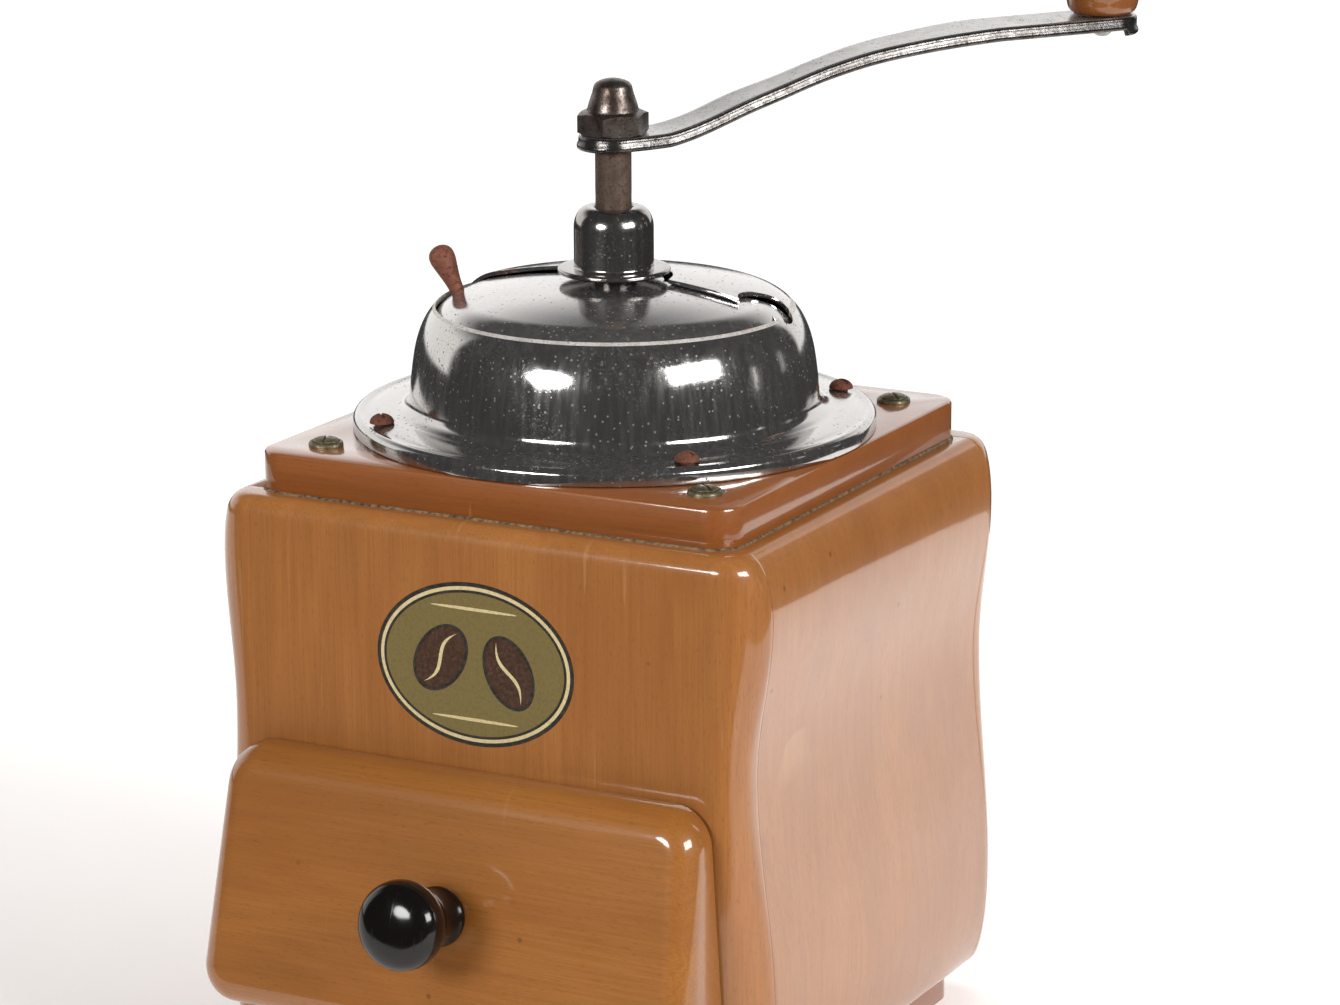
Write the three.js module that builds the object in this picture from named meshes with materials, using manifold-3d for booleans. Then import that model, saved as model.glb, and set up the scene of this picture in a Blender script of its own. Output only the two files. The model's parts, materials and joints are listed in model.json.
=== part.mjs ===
// Hand crank coffee grinder: a wooden box mill with a metal hopper dome, a turning lid,
// a cranked shaft, an adjustable burr set below the top board and a drawer for the ground coffee.
// Millimetres, +Z up, origin at the centre of the base board's underside, drawer towards -Y.
import * as THREE from 'three';
import { mergeVertices } from 'three/addons/utils/BufferGeometryUtils.js';
import Module from 'manifold-3d';

const wasm = await Module();
wasm.setup();

// ---- driving dimensions ----
const clearance = 0.3; // between turned or sliding pieces
const glueLine = 0.05; // between glued boards
const boardHalf = 58; // base board and top board are the same square
const boardCorner = 7;
const baseTop = 8;
const bodyTop = 134.5;
const boardTop = 143.25;

const bodyHalfDepth = 64; // flat front and back
const lowerBulge = { z: 33, half: 67.4 };
const waist = { z: 86, half: 63 };
const upperBulge = { z: 120, half: 66.6 };
const ledgeHalf = 60.5; // where the curved sides meet the two boards
const topRound = 4; // edge rounding of front and back panels
const bottomRound = 3;
const innerHalfX = 54; // hollow inside the four panels
const innerHalfY = 55;

const drawerOpening = { halfWidth: 49.5, low: 27.5, high: 76 };
const drawerBoxHalf = 48.8;
const drawerWall = 5;
const drawerLow = 28.4;
const drawerHigh = 70;
const drawerRear = 45;
const drawerBottomLow = 30.5;
const drawerBottomHigh = 33.5;
const drawerFrontBack = -bodyHalfDepth - clearance; // rear face of the drawer front
const drawerFrontLow = 25;
const drawerFrontHigh = 81.5;
const drawerFrontHalf = 60;
const drawerFrontCorner = 8.5;
const drawerFrontRound = 6;
const drawerFaceY = -79.3; // face of the drawer front at knobHeight
const drawerFaceSlope = 0.19; // the face leans back towards its top
const knobHeight = 53;

const cornerScrewAt = 46.4;
const millScrewAt = 37.5;
const baseScrewX = 50;
const baseScrewY = 40;

const sheet = 0.9; // hopper dome
const crownHeight = 177.4;
const crownFall = 0.0035; // crown height falls with the square of the radius
const crownRadius = 33; // where the crown runs into the shoulder
const domeRadius = 45.3;
const flangeRadius = 57.9;
const flangeRound = 1.6;
const wallFillet = 3.3;
const shoulderLow = [44.2, 160];
const shoulderPulls = [[42.9, 167.3], [39.6, 172.3]];
const mouthRadius = 39.4;
const mouthHub = 13;
const lidSheet = 0.8;
const lidInset = 1.25; // the lid lies parallel to the dome, this far below its outer face
const lidStart = 172;
const lidSweep = 203;
const lidHubRadius = 11;
const lidKnob = { radius: 36.9, angle: 189.5, height: 170.9, lean: 25.5 }; // lean in degrees, outwards
const lidKnobStem = 1.6;
const parkingX = 34.5; // notch that takes the lid knob when the mouth is open
const parkingY = 5.3;
const parkingRadius = 6;

const shaftRadius = 4;
const shaftLow = 92;
const shaftHigh = 214.8;
const flatsLow = 206.6;
const flatHalf = 3.2;
const bushRadius = 5.3;
const collarRadius = 8.8;
const collarFoot = 177.5; // its washer-like flange stands on the crown
const collarTop = 192.2;

const crankLength = 121.6;
const crankAngle = THREE.MathUtils.degToRad(52);
const crankLow = 205.2; // lower edge of the crank's skirt at the shaft
const crankHeight = 3.1;
const crankSheet = 1.5;
const shaftEndRadius = 8;
const shaftLipLow = 204.9; // the skirt is a little taller round both ends
const knobEndRadius = 8.3;
const knobLipLow = 222.25;
const crankRise = [
  [-10, 0], [8, 0], [13, 0.4], [20, 2.2], [30, 5.8], [40, 8.8], [50, 11.9], [60, 14.4], [70, 16], [85, 17.6],
  [100, 18.2], [130, 18.4],
];
const crankHalfWidth = [
  [5, 7.6], [12, 6.7], [20, 6.2], [30, 6.2], [45, 5.4], [55, 5.9], [65, 6.6], [75, 7.2], [85, 8.1], [92, 8.2],
];
const nutSeat = 208.4;
const nutTurn = THREE.MathUtils.degToRad(-8.6);
const knobLow = 226.85;
const knobRecess = 258.8; // the knob pin's head lies in a recess at the top

const burrHigh = 122;
const burrLow = 101;
const ringInner = 21.2;
const ringOuter = 25;
const ringLow = 100;
const ringHigh = 124;
const bridgeLow = 82;
const bridgeEar = 27;

// ---- materials ----
const paint = (color, roughness, metalness) => new THREE.MeshStandardMaterial({ color, roughness, metalness });
const beech = paint(0xb5773f, 0.35, 0);
const drawerBeech = paint(0xa56a31, 0.35, 0);
const rawBeech = paint(0xc9a77a, 0.8, 0);
const chrome = paint(0xb9bcc0, 0.15, 1);
const darkSteel = paint(0x735f55, 0.6, 0.8);
const brownSteel = paint(0x5a3a2a, 0.7, 0.6);
const dullBrass = paint(0x8a7f63, 0.5, 0.8);
const castIron = paint(0x45464a, 0.75, 0.6);
const steel = paint(0x9a9c9f, 0.4, 0.9);
const tinplate = paint(0xa9abab, 0.35, 0.9);
const blackPlastic = paint(0x141416, 0.12, 0);

const grinder = new THREE.Group();

// ---- tools for making solids ----
function toSolid(geometry) {
  const bare = geometry.clone();
  bare.deleteAttribute('normal');
  bare.deleteAttribute('uv');
  const merged = mergeVertices(bare);
  const index = merged.index.array;
  const triangles = [];
  for (let i = 0; i < index.length; i += 3) {
    const [a, b, c] = index.slice(i, i + 3);
    if (a !== b && b !== c && c !== a) triangles.push(a, b, c);
  }
  const vertProperties = merged.attributes.position.array;
  return new wasm.Manifold(new wasm.Mesh({ numProp: 3, vertProperties, triVerts: new Uint32Array(triangles) }));
}

function toGeometry(solid) {
  const { vertProperties, triVerts } = solid.getMesh();
  const geometry = new THREE.BufferGeometry();
  geometry.setAttribute('position', new THREE.BufferAttribute(vertProperties, 3));
  geometry.setIndex(new THREE.BufferAttribute(triVerts, 1));
  return geometry;
}

function carry(solid, matrix) {
  return toSolid(toGeometry(solid).applyMatrix4(matrix));
}

function move(solid, x, y, z = 0) {
  return carry(solid, new THREE.Matrix4().makeTranslation(x, y, z));
}

function addPiece(name, solid, material, parent = grinder) {
  const mesh = new THREE.Mesh(toGeometry(solid), material);
  mesh.name = name;
  parent.add(mesh);
}

function points2d(pairs) {
  return pairs.map(([x, y]) => new THREE.Vector2(x, y));
}

// A body of revolution about +Z: the outline is (radius, height), anticlockwise when it is closed.
function turned(outline, segments = 40) {
  const geometry = new THREE.LatheGeometry(points2d(outline), segments);
  return toSolid(geometry.rotateX(Math.PI / 2));
}

function closedTurned(outline, segments) {
  return turned([...outline, outline[0]], segments);
}

function prism(shape, low, high, curveSegments = 10) {
  const geometry = new THREE.ExtrudeGeometry(shape, { depth: high - low, bevelEnabled: false, curveSegments });
  return toSolid(geometry.translate(0, 0, low));
}

// An outline drawn as (distance from the axis, height), given a thickness and turned about +Z.
function upright(outline, thickness, angle = 0) {
  const shape = new THREE.Shape(points2d(outline));
  const geometry = new THREE.ExtrudeGeometry(shape, { depth: thickness, bevelEnabled: false });
  geometry.translate(0, 0, -thickness / 2);
  return toSolid(geometry.rotateX(Math.PI / 2).rotateZ(angle));
}

function block(lowX, highX, lowY, highY, lowZ, highZ) {
  const geometry = new THREE.BoxGeometry(highX - lowX, highY - lowY, highZ - lowZ);
  return toSolid(geometry.translate((lowX + highX) / 2, (lowY + highY) / 2, (lowZ + highZ) / 2));
}

function rod(x, y, radius, low, high, segments = 24) {
  const geometry = new THREE.CylinderGeometry(radius, radius, high - low, segments);
  return toSolid(geometry.rotateX(Math.PI / 2).translate(x, y, (low + high) / 2));
}

function hexagon(acrossFlats, low, high) {
  return rod(0, 0, acrossFlats / Math.sqrt(3), low, high, 6);
}

function arc(centerX, centerY, radius, fromDegrees, toDegrees, steps) {
  const list = [];
  for (let i = 0; i <= steps; i++) {
    const angle = THREE.MathUtils.degToRad(fromDegrees + ((toDegrees - fromDegrees) * i) / steps);
    list.push([centerX + radius * Math.cos(angle), centerY + radius * Math.sin(angle)]);
  }
  return list;
}

// A line parallel to an open outline, to its left.
function parallel(outline, distance) {
  return outline.map((point, i) => {
    const before = outline[Math.max(i - 1, 0)];
    const after = outline[Math.min(i + 1, outline.length - 1)];
    const along = new THREE.Vector2(after[0] - before[0], after[1] - before[1]).normalize();
    return [point[0] - along.y * distance, point[1] + along.x * distance];
  });
}

// Sheet metal: closes an open outline with its own parallel at the sheet's thickness.
function sheetOutline(outer, thickness) {
  return [...outer, ...parallel(outer, thickness).reverse()];
}

function roundedRing(halfX, halfY, radius, steps) {
  const ring = [];
  for (let corner = 0; corner < 4; corner++) {
    const centerX = (corner === 0 || corner === 3 ? 1 : -1) * (halfX - radius);
    const centerY = (corner < 2 ? 1 : -1) * (halfY - radius);
    ring.push(...arc(centerX, centerY, radius, corner * 90, corner * 90 + 90, steps));
  }
  return ring;
}

function roundedSquare(half, radius) {
  return new THREE.Shape(points2d(roundedRing(half, half, radius, 4)));
}

// Skins a stack of equal rings of [x, y, z] points and closes both ends.
function loft(rings) {
  const count = rings[0].length;
  const last = (rings.length - 1) * count;
  const faces = [];
  for (let row = 0; row < last; row += count) {
    for (let j = 0; j < count; j++) {
      const k = (j + 1) % count;
      faces.push(row + j, row + k, row + count + k, row + j, row + count + k, row + count + j);
    }
  }
  for (let j = 1; j < count - 1; j++) {
    faces.push(0, j + 1, j, last, last + j, last + j + 1);
  }
  const geometry = new THREE.BufferGeometry();
  geometry.setAttribute('position', new THREE.Float32BufferAttribute(rings.flat(2), 3));
  geometry.setIndex(faces);
  return toSolid(geometry);
}

function blend(from, to, share) {
  return from + ((to - from) * (1 - Math.cos(Math.PI * share))) / 2;
}

function quarterRound(share) {
  return Math.sqrt(Math.max(0, 1 - share * share));
}

// The four places of a square pattern, front left first, then anticlockwise seen from above.
function square(halfX, halfY = halfX) {
  return [[-halfX, -halfY], [halfX, -halfY], [halfX, halfY], [-halfX, halfY]];
}

function drill(solid, places, radius, low, high) {
  return places.reduce((rest, [x, y]) => rest.subtract(rod(x, y, radius, low, high, 12)), solid);
}

// ---- wooden body ----
// Half the body's width: a bulge near the bottom and the top, a waist between them.
function bodyHalfWidth(z) {
  if (z > upperBulge.z) {
    const share = (z - upperBulge.z) / (bodyTop - upperBulge.z);
    return ledgeHalf + (upperBulge.half - ledgeHalf) * quarterRound(share);
  }
  if (z > waist.z) return blend(waist.half, upperBulge.half, (z - waist.z) / (upperBulge.z - waist.z));
  if (z > lowerBulge.z) return blend(lowerBulge.half, waist.half, (z - lowerBulge.z) / (waist.z - lowerBulge.z));
  const share = (lowerBulge.z - z) / (lowerBulge.z - baseTop);
  return ledgeHalf + (lowerBulge.half - ledgeHalf) * quarterRound(share);
}

function bodyHalfDepthAt(z) {
  const overTop = Math.max(0, z - (bodyTop - topRound)) / topRound;
  const underBottom = Math.max(0, baseTop + bottomRound - z) / bottomRound;
  return bodyHalfDepth - topRound * (1 - quarterRound(overTop)) - bottomRound * (1 - quarterRound(underBottom));
}

function bodyCorner(z) {
  const wideness = (bodyHalfWidth(z) - waist.half) / (lowerBulge.half - waist.half);
  return Math.max(6, 6.7 + 4.1 * wideness);
}

function bodyBlank() {
  const heights = [8, 8.9, 11, 15, 22, 33, 44, 55, 66, 76, 86, 95, 104, 112, 120, 126, 130.5, 133];
  const rings = [...heights, bodyTop].map((z) => {
    return roundedRing(bodyHalfWidth(z), bodyHalfDepthAt(z), bodyCorner(z), 4).map(([x, y]) => [x, y, z]);
  });
  return loft(rings);
}

function makeBody() {
  const far = 80;
  const shell = bodyBlank().subtract(block(-innerHalfX, innerHalfX, -innerHalfY, innerHalfY, 0, 150));
  const { halfWidth, low, high } = drawerOpening;
  const opening = block(-halfWidth, halfWidth, -far, 0, low, high);
  const front = shell.intersect(block(-far, far, -far, -innerHalfY, 0, 150)).subtract(opening);
  const sideReach = innerHalfY - glueLine;
  addPiece('front_panel', front, beech);
  addPiece('back_panel', shell.intersect(block(-far, far, innerHalfY, far, 0, 150)), beech);
  addPiece('left_side_panel', shell.intersect(block(-far, 0, -sideReach, sideReach, 0, 150)), beech);
  addPiece('right_side_panel', shell.intersect(block(0, far, -sideReach, sideReach, 0, 150)), beech);

  let top = prism(roundedSquare(boardHalf, boardCorner), bodyTop, boardTop);
  top = top.subtract(rod(0, 0, 39.2, 130, 150, 32));
  top = drill(top, square(cornerScrewAt), 2.2, 130, 150);
  addPiece('top_board', drill(top, square(millScrewAt), 1.9, 130, 150), beech);

  let base = prism(roundedSquare(boardHalf, boardCorner), 0, baseTop);
  base = drill(base, square(baseScrewX, baseScrewY), 2.2, -1, baseTop + 1);
  addPiece('base_board', drill(base, square(baseScrewX, baseScrewY), 4.2, -1, 3.5), beech);
}

function makeInnerWoodwork() {
  const outerX = innerHalfX - 0.1;
  const outerY = innerHalfY - 0.1;
  square(1).forEach(([signX, signY], i) => {
    const xs = [signX * (outerX - 12.4), signX * outerX].sort((a, b) => a - b);
    const ys = [signY * (outerY - 12.4), signY * outerY].sort((a, b) => a - b);
    const post = block(...xs, ...ys, 95, bodyTop - 0.2);
    const place = [[signX * cornerScrewAt, signY * cornerScrewAt]];
    addPiece(`corner_block_${i + 1}`, drill(post, place, 2.2, 118, 140), rawBeech);
  });
  for (const [side, sign] of [['left', -1], ['right', 1]]) {
    const inner = innerHalfX - 7.2;
    const railX = [sign * inner, sign * outerX].sort((a, b) => a - b);
    const guideX = [sign * (drawerBoxHalf + 0.8), sign * outerX].sort((a, b) => a - b);
    const rail = block(...railX, -54.5, 54.5, baseTop, 28);
    const guide = block(...guideX, -54.5, 54.5, 20, 50);
    const places = [[sign * baseScrewX, -baseScrewY], [sign * baseScrewX, baseScrewY]];
    addPiece(`drawer_runner_${side}`, drill(rail.add(guide), places, 2.2, 0, 22), rawBeech);
  }
}

// ---- fasteners ----
// A slotted screw whose head outline is (radius, height) from the shank outwards and up to the axis.
function slottedScrew(x, y, shankRadius, low, headOutline, slotDepth) {
  const top = headOutline[headOutline.length - 1][1];
  const outline = [[0, low], [shankRadius * 0.5, low], [shankRadius, low + 2], ...headOutline];
  const slot = block(-6, 6, -0.4, 0.4, top - slotDepth, top + 1);
  return move(turned(outline, 12).subtract(slot), x, y);
}

function makeFasteners() {
  square(cornerScrewAt).forEach(([x, y], i) => {
    const rises = [[1.9, 0.2], [2.9, 1.1], [2.4, 1.5], [1.2, 1.8], [0, 1.9]];
    const head = rises.map(([radius, rise]) => [radius, boardTop + rise]);
    addPiece(`corner_screw_${i + 1}`, slottedScrew(x, y, 1.9, 120, head, 0.6), dullBrass);
    const cup = [[2.35, boardTop], [3.8, boardTop], [3.75, boardTop + 0.5], [3.3, boardTop + 1.1]];
    addPiece(`cup_washer_${i + 1}`, move(closedTurned(cup, 16), x, y), dullBrass);
  });
  square(millScrewAt).forEach(([x, y], i) => {
    const seat = 147.4;
    const head = [[1.6, seat], ...arc(0, seat, 2.7, 0, 90, 4).map(([r, z]) => [r, seat + (z - seat) * 0.75])];
    addPiece(`mill_screw_${i + 1}`, slottedScrew(x, y, 1.6, 123.5, head, 0.6), brownSteel);
    const nut = hexagon(5.5, 126.2, 129.1).subtract(rod(0, 0, 1.9, 120, 135, 12));
    addPiece(`mill_nut_${i + 1}`, move(nut, x, y), steel);
  });
  square(baseScrewX, baseScrewY).forEach(([x, y], i) => {
    const outline = [[0, 0.8], [3.6, 0.8], [3.8, 1.2], [3.8, 2], [1.9, 3.4], [1.9, 18], [0, 20.5]];
    const slot = block(-6, 6, -0.4, 0.4, 0, 1.5);
    addPiece(`base_screw_${i + 1}`, move(turned(outline, 12).subtract(slot), x, y), steel);
  });
}

// ---- hopper ----
function crown(radius) {
  return [radius, crownHeight - crownFall * radius * radius];
}

// The dome's outer face above its wall, from the shoulder up to the hole in the middle.
function shoulderAndCrown(holeRadius) {
  const knots = points2d([shoulderLow, ...shoulderPulls, crown(crownRadius)]);
  const shoulder = new THREE.CubicBezierCurve(...knots).getPoints(5).map(({ x, y }) => [x, y]);
  return [...shoulder, crown(27), crown(20), crown(12.5), crown(holeRadius)];
}

// The bean mouth: a little more than half of the crown, open to both sides of the collar.
function mouthShape() {
  const leftEdge = 5;
  const rightEdge = 0.8;
  const shape = new THREE.Shape();
  const startAngle = Math.PI - Math.asin(leftEdge / mouthRadius);
  const endAngle = 2 * Math.PI + Math.asin(rightEdge / mouthRadius);
  shape.absarc(0, 0, mouthRadius, startAngle, endAngle, false);
  const hubStart = Math.asin(rightEdge / mouthHub);
  const hubEnd = Math.PI - Math.asin(leftEdge / mouthHub);
  shape.absarc(0, 0, mouthHub, hubStart, hubEnd, true);
  return shape;
}

function makeHopper() {
  const outer = [
    [flangeRadius, 143.5],
    ...arc(flangeRadius - flangeRound, 145.4, flangeRound, 0, 90, 2),
    ...arc(domeRadius + wallFillet, 150.6, wallFillet, 270, 180, 3),
    [44.9, 155],
    ...shoulderAndCrown(bushRadius + 0.4),
  ];
  let dome = closedTurned(sheetOutline(outer, sheet), 40);
  dome = dome.subtract(prism(mouthShape(), 165, 185, 16));
  dome = dome.subtract(rod(parkingX, parkingY, parkingRadius, 165, 185, 16));
  addPiece('hopper_dome', drill(dome, square(millScrewAt), 1.9, 143, 149), chrome);

  const bore = shaftRadius + clearance;
  const shoulderStart = 187.6;
  const shoulder = arc(0, 0, 1, 0, 90, 4).map(([out, up]) => {
    return [5.5 + (collarRadius - 5.5) * out, shoulderStart + (collarTop - shoulderStart) * up];
  });
  const collar = [
    [bore, 166], [bushRadius, 166], [bushRadius, collarFoot], [12.1, collarFoot], [12.5, collarFoot + 0.4],
    [12.5, collarFoot + 0.8], [12.1, collarFoot + 1.2], [collarRadius, collarFoot + 1.2], ...shoulder,
    [bore, collarTop],
  ];
  addPiece('bearing_collar', closedTurned(collar, 24), chrome);
}

function makeLid() {
  const lidLine = parallel(shoulderAndCrown(bushRadius + 0.6), lidInset).slice(2);
  const wholeSheet = closedTurned(sheetOutline(lidLine, lidSheet), 40);
  const sector = new THREE.Shape([new THREE.Vector2(0, 0)]);
  const start = THREE.MathUtils.degToRad(lidStart);
  sector.absarc(0, 0, 45, start, start + THREE.MathUtils.degToRad(lidSweep), false);
  const kept = prism(sector, 160, 180, 4).add(rod(0, 0, lidHubRadius, 160, 180, 20));

  const angle = THREE.MathUtils.degToRad(lidKnob.angle);
  const knobGroup = new THREE.Group();
  const { radius, height } = lidKnob;
  knobGroup.position.set(radius * Math.cos(angle), radius * Math.sin(angle), height);
  knobGroup.rotation.set(0, THREE.MathUtils.degToRad(lidKnob.lean), angle, 'ZYX');
  knobGroup.updateMatrixWorld();
  const knobHole = carry(rod(0, 0, lidKnobStem + 0.15, -4, 4, 14), knobGroup.matrixWorld);
  addPiece('hopper_lid', wholeSheet.intersect(kept).subtract(knobHole), chrome);

  const pin = [
    [0, -2.6], [2.4, -2.4], [2.4, -1.6], [lidKnobStem, -1.6], [lidKnobStem, 0.6], [2.1, 4], [2.7, 6.7],
    [2.9, 8.1], [2.6, 9.5], [1.6, 10.5], [0, 10.9],
  ];
  addPiece('lid_knob', turned(pin, 12), brownSteel, knobGroup);
  grinder.add(knobGroup);

  const washer = [[5.6, 173.6], [9, 174.3], [9, 175], [5.6, 174.3]];
  addPiece('lid_spring_washer', closedTurned(washer, 20), steel);
  const nut = hexagon(14, 169.3, 173.5).subtract(rod(0, 0, bushRadius + clearance, 160, 180, 16));
  addPiece('bush_nut', nut, steel);
}

function makeFunnel() {
  const funnel = [[43, boardTop + 0.9], [38.2, boardTop + 0.9], [37.4, boardTop + 0.3], [19, ringHigh + 0.5]];
  addPiece('hopper_funnel', closedTurned(sheetOutline(funnel, 0.8), 28), tinplate);
}

// ---- grinding set ----
function makeGrindingSet() {
  const stepHigh = ringLow + 1.7; // the step that carries the outer burr
  const stepInner = 19.6;
  const ring = [
    [stepInner, ringLow], [ringOuter, ringLow], [ringOuter, ringHigh], [ringInner, ringHigh],
    [ringInner, stepHigh], [stepInner, stepHigh],
  ];
  let housing = closedTurned(ring, 24);
  const arm = [[23.5, 108], [30, 112], [50, 129.4], [50, 134.4], [46, 134.4], [30, 128], [23.5, 123]];
  square(millScrewAt).forEach(([x, y]) => {
    housing = housing.add(upright(arm, 5, Math.atan2(y, x)));
    housing = housing.add(rod(x, y, 5.5, 129.4, 134.4, 12));
  });
  const ears = [[-bridgeEar, 0], [bridgeEar, 0]];
  ears.forEach(([x, y]) => {
    housing = housing.add(rod(x, y, 4.5, ringLow, 110, 12));
  });
  housing = drill(housing, square(millScrewAt), 1.9, 125, 140);
  addPiece('burr_housing', drill(housing, ears, 1.9, 98, 107), castIron);

  const outerTeeth = 18;
  const toothedHole = new THREE.Path();
  toothedHole.setFromPoints(toothPoints(outerTeeth, 15.9, 17.3));
  const outerShape = new THREE.Shape(points2d(arc(0, 0, ringInner - clearance, 0, 345, 23)));
  outerShape.holes.push(toothedHole);
  const flare = turned([[0, 108], [15.8, 108], [18.6, burrHigh], [18.6, 125], [0, 125]], 18);
  addPiece('outer_burr', prism(outerShape, 102, 121).subtract(flare), castIron);

  const cone = turned([[0, burrLow], [15, burrLow], [15, 105], [7.5, burrHigh], [0, burrHigh]], 24);
  const blank = twistedTeeth(10, 13.3, 15.2, burrLow - 1, burrHigh + 1, 50);
  const core = turned([[0, burrLow], [12, burrLow], [7.2, burrHigh], [0, burrHigh]], 20);
  const bore = rod(0, 0, shaftRadius + clearance, 90, 130, 16);
  addPiece('inner_burr', cone.intersect(blank.add(core)).subtract(bore), castIron);

  let bridge = block(-31, 31, -4.5, 4.5, bridgeLow, bridgeLow + 4.5).add(rod(0, 0, 8, bridgeLow, 90, 20));
  ears.forEach(([x, y]) => {
    bridge = bridge.add(rod(x, y, 4.5, bridgeLow, ringLow - 0.1, 12));
  });
  bridge = bridge.subtract(rod(0, 0, shaftRadius + clearance, 70, 95, 16));
  addPiece('lower_bridge', drill(bridge, ears, 1.9, 70, 105), castIron);
  ears.forEach(([x, y], i) => {
    const headTop = bridgeLow - (i === 1 ? 0.9 : 0.1);
    const outline = [[0, headTop - 2.2], [2.6, headTop - 1.6], [3.2, headTop], [1.6, headTop], [1.6, 105], [0, 106]];
    addPiece(`bridge_screw_${i + 1}`, move(turned(outline, 12), x, y), steel);
  });
  const leaf = [[9.5, 74.5], [10.1, 74.5], [10.1, 81.3], [31, 81.3], [31, 81.9], [9.5, 81.9]];
  addPiece('detent_spring', drill(upright(leaf, 6), [ears[1]], 1.9, 78, 84), steel);

  const head = prism(new THREE.Shape(toothPoints(14, 8.4, 9.1)), 73.5, 77.5);
  addPiece('adjusting_screw', head.add(rod(0, 0, shaftRadius, 77, 90, 16)), dullBrass);
  addPiece('thrust_pad', rod(0, 0, 3.6, 90.2, 91.7, 16), steel);
}

// A ring of rounded-off teeth: two points at the tip and one at the root of each.
function toothPoints(teeth, rootRadius, tipRadius, turn = 0) {
  const list = [];
  for (let i = 0; i < teeth; i++) {
    const steps = [[0, rootRadius], [0.35, tipRadius], [0.65, tipRadius]];
    steps.forEach(([share, radius]) => {
      const angle = ((i + share) / teeth) * 2 * Math.PI + turn;
      list.push(new THREE.Vector2(radius * Math.cos(angle), radius * Math.sin(angle)));
    });
  }
  return list;
}

function twistedTeeth(teeth, rootRadius, tipRadius, low, high, twistDegrees) {
  const steps = 4;
  const rings = [];
  for (let i = 0; i <= steps; i++) {
    const share = i / steps;
    const turn = THREE.MathUtils.degToRad(twistDegrees) * share;
    const z = low + (high - low) * share;
    rings.push(toothPoints(teeth, rootRadius - 6 * share, tipRadius, turn).map((p) => [p.x, p.y, z]));
  }
  return loft(rings);
}

// ---- crank ----
// Half of the crank's plan runs from the shaft's end to the knob's end along +X; the rest mirrors it.
function crankPlan(inset) {
  const shaftEnd = arc(0, 0, shaftEndRadius - inset, 180, 90, 6);
  const side = new THREE.SplineCurve(points2d(crankHalfWidth)).getPoints(14).map(({ x, y }) => [x, y - inset]);
  const knobEnd = arc(crankLength, 0, knobEndRadius - inset, 85, 0, 6);
  const half = [...shaftEnd, ...side, ...knobEnd];
  const mirrored = half.slice(1, -1).map(([x, y]) => [x, -y]);
  return new THREE.Shape(points2d([...mirrored, ...half.reverse()]));
}

function makeCrankArm(crank) {
  const rise = new THREE.SplineCurve(points2d(crankRise)).getPoints(22);
  const band = (lowOffset, highOffset) => {
    const lower = rise.map(({ x, y }) => [x, crankLow + y + lowOffset]);
    const upper = rise.map(({ x, y }) => [x, crankLow + y + highOffset]).reverse();
    return upright([...lower, ...upper], 24);
  };
  const lip = (x, radius, from, to, low, high) => {
    const ring = [...arc(x, 0, radius, from, to, 8), ...arc(x, 0, radius - crankSheet, to, from, 8)];
    return prism(new THREE.Shape(points2d(ring)), low, high);
  };
  const outside = band(0, crankHeight).intersect(prism(crankPlan(0), 190, 240));
  const hollow = band(-2, crankHeight - crankSheet).intersect(prism(crankPlan(crankSheet), 190, 240));
  const lips = lip(0, shaftEndRadius, 125, 235, shaftLipLow, 207).add(
    lip(crankLength, knobEndRadius, -72, 72, knobLipLow, 226),
  );
  const betweenFlats = block(-6, 6, -flatHalf - clearance, flatHalf + clearance, 200, 215);
  const shaftHole = rod(0, 0, shaftRadius + clearance, 200, 215, 16).intersect(betweenFlats);
  const pinHole = rod(crankLength, 0, 2.5, 215, 235, 14);
  const pressed = outside.subtract(hollow).add(lips);
  addPiece('crank_arm', pressed.subtract(shaftHole).subtract(pinHole), chrome, crank);
}

function makeCapNut(crank) {
  const hexHeight = 5;
  const bevel = turned([
    [0, 0], [7.2, 0], [8.1, 0.5], [8.1, 4.1], [6.2, hexHeight], [0, hexHeight],
  ], 24);
  const dome = turned([
    [0, 4], [5.75, 4.5], [5.6, 5.4], [5.3, 6.6], [4.9, 7.8], [4.5, 9], [4.2, 10.2], [3.6, 11.1], [2.65, 11.6],
    [1.3, 11.95], [0, 12.05],
  ], 20);
  const thread = rod(0, 0, shaftRadius + clearance, -1, shaftHigh + 0.4 - nutSeat, 16);
  const nut = hexagon(14, 0, hexHeight).intersect(bevel).add(dome).subtract(thread);
  const placed = new THREE.Matrix4().makeRotationZ(nutTurn).setPosition(0, 0, nutSeat);
  addPiece('cap_nut', carry(nut, placed), darkSteel, crank);
}

function makeCrankKnob(crank) {
  const pin = [
    [0, 221.4], [1.2, 221.6], [2.1, 222.3], [2.6, 223.3], [2.6, 225], [2.2, 225], [2.2, knobRecess + 0.3],
    [4.2, knobRecess + 0.3], [3.6, knobRecess + 1.5], [2, knobRecess + 2.3], [0, knobRecess + 2.6],
  ];
  addPiece('knob_pin', move(turned(pin, 14), crankLength, 0), steel, crank);
  const profile = [
    [6.6, 0], [7.5, 0.8], [8, 2], [8.5, 4.2], [10.2, 9], [12.4, 14.5], [13.4, 20.5], [12.2, 28], [8.6, 33.6],
    [5.6, 35.6],
  ];
  const curve = new THREE.SplineCurve(points2d(profile)).getPoints(13).map(({ x, y }) => [x, knobLow + y]);
  const bore = 2.5;
  const outline = [[bore, knobLow], ...curve, [4.7, knobLow + 35.4], [4.7, knobRecess], [bore, knobRecess]];
  addPiece('crank_knob', move(closedTurned(outline, 28), crankLength, 0), drawerBeech, crank);
}

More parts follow.
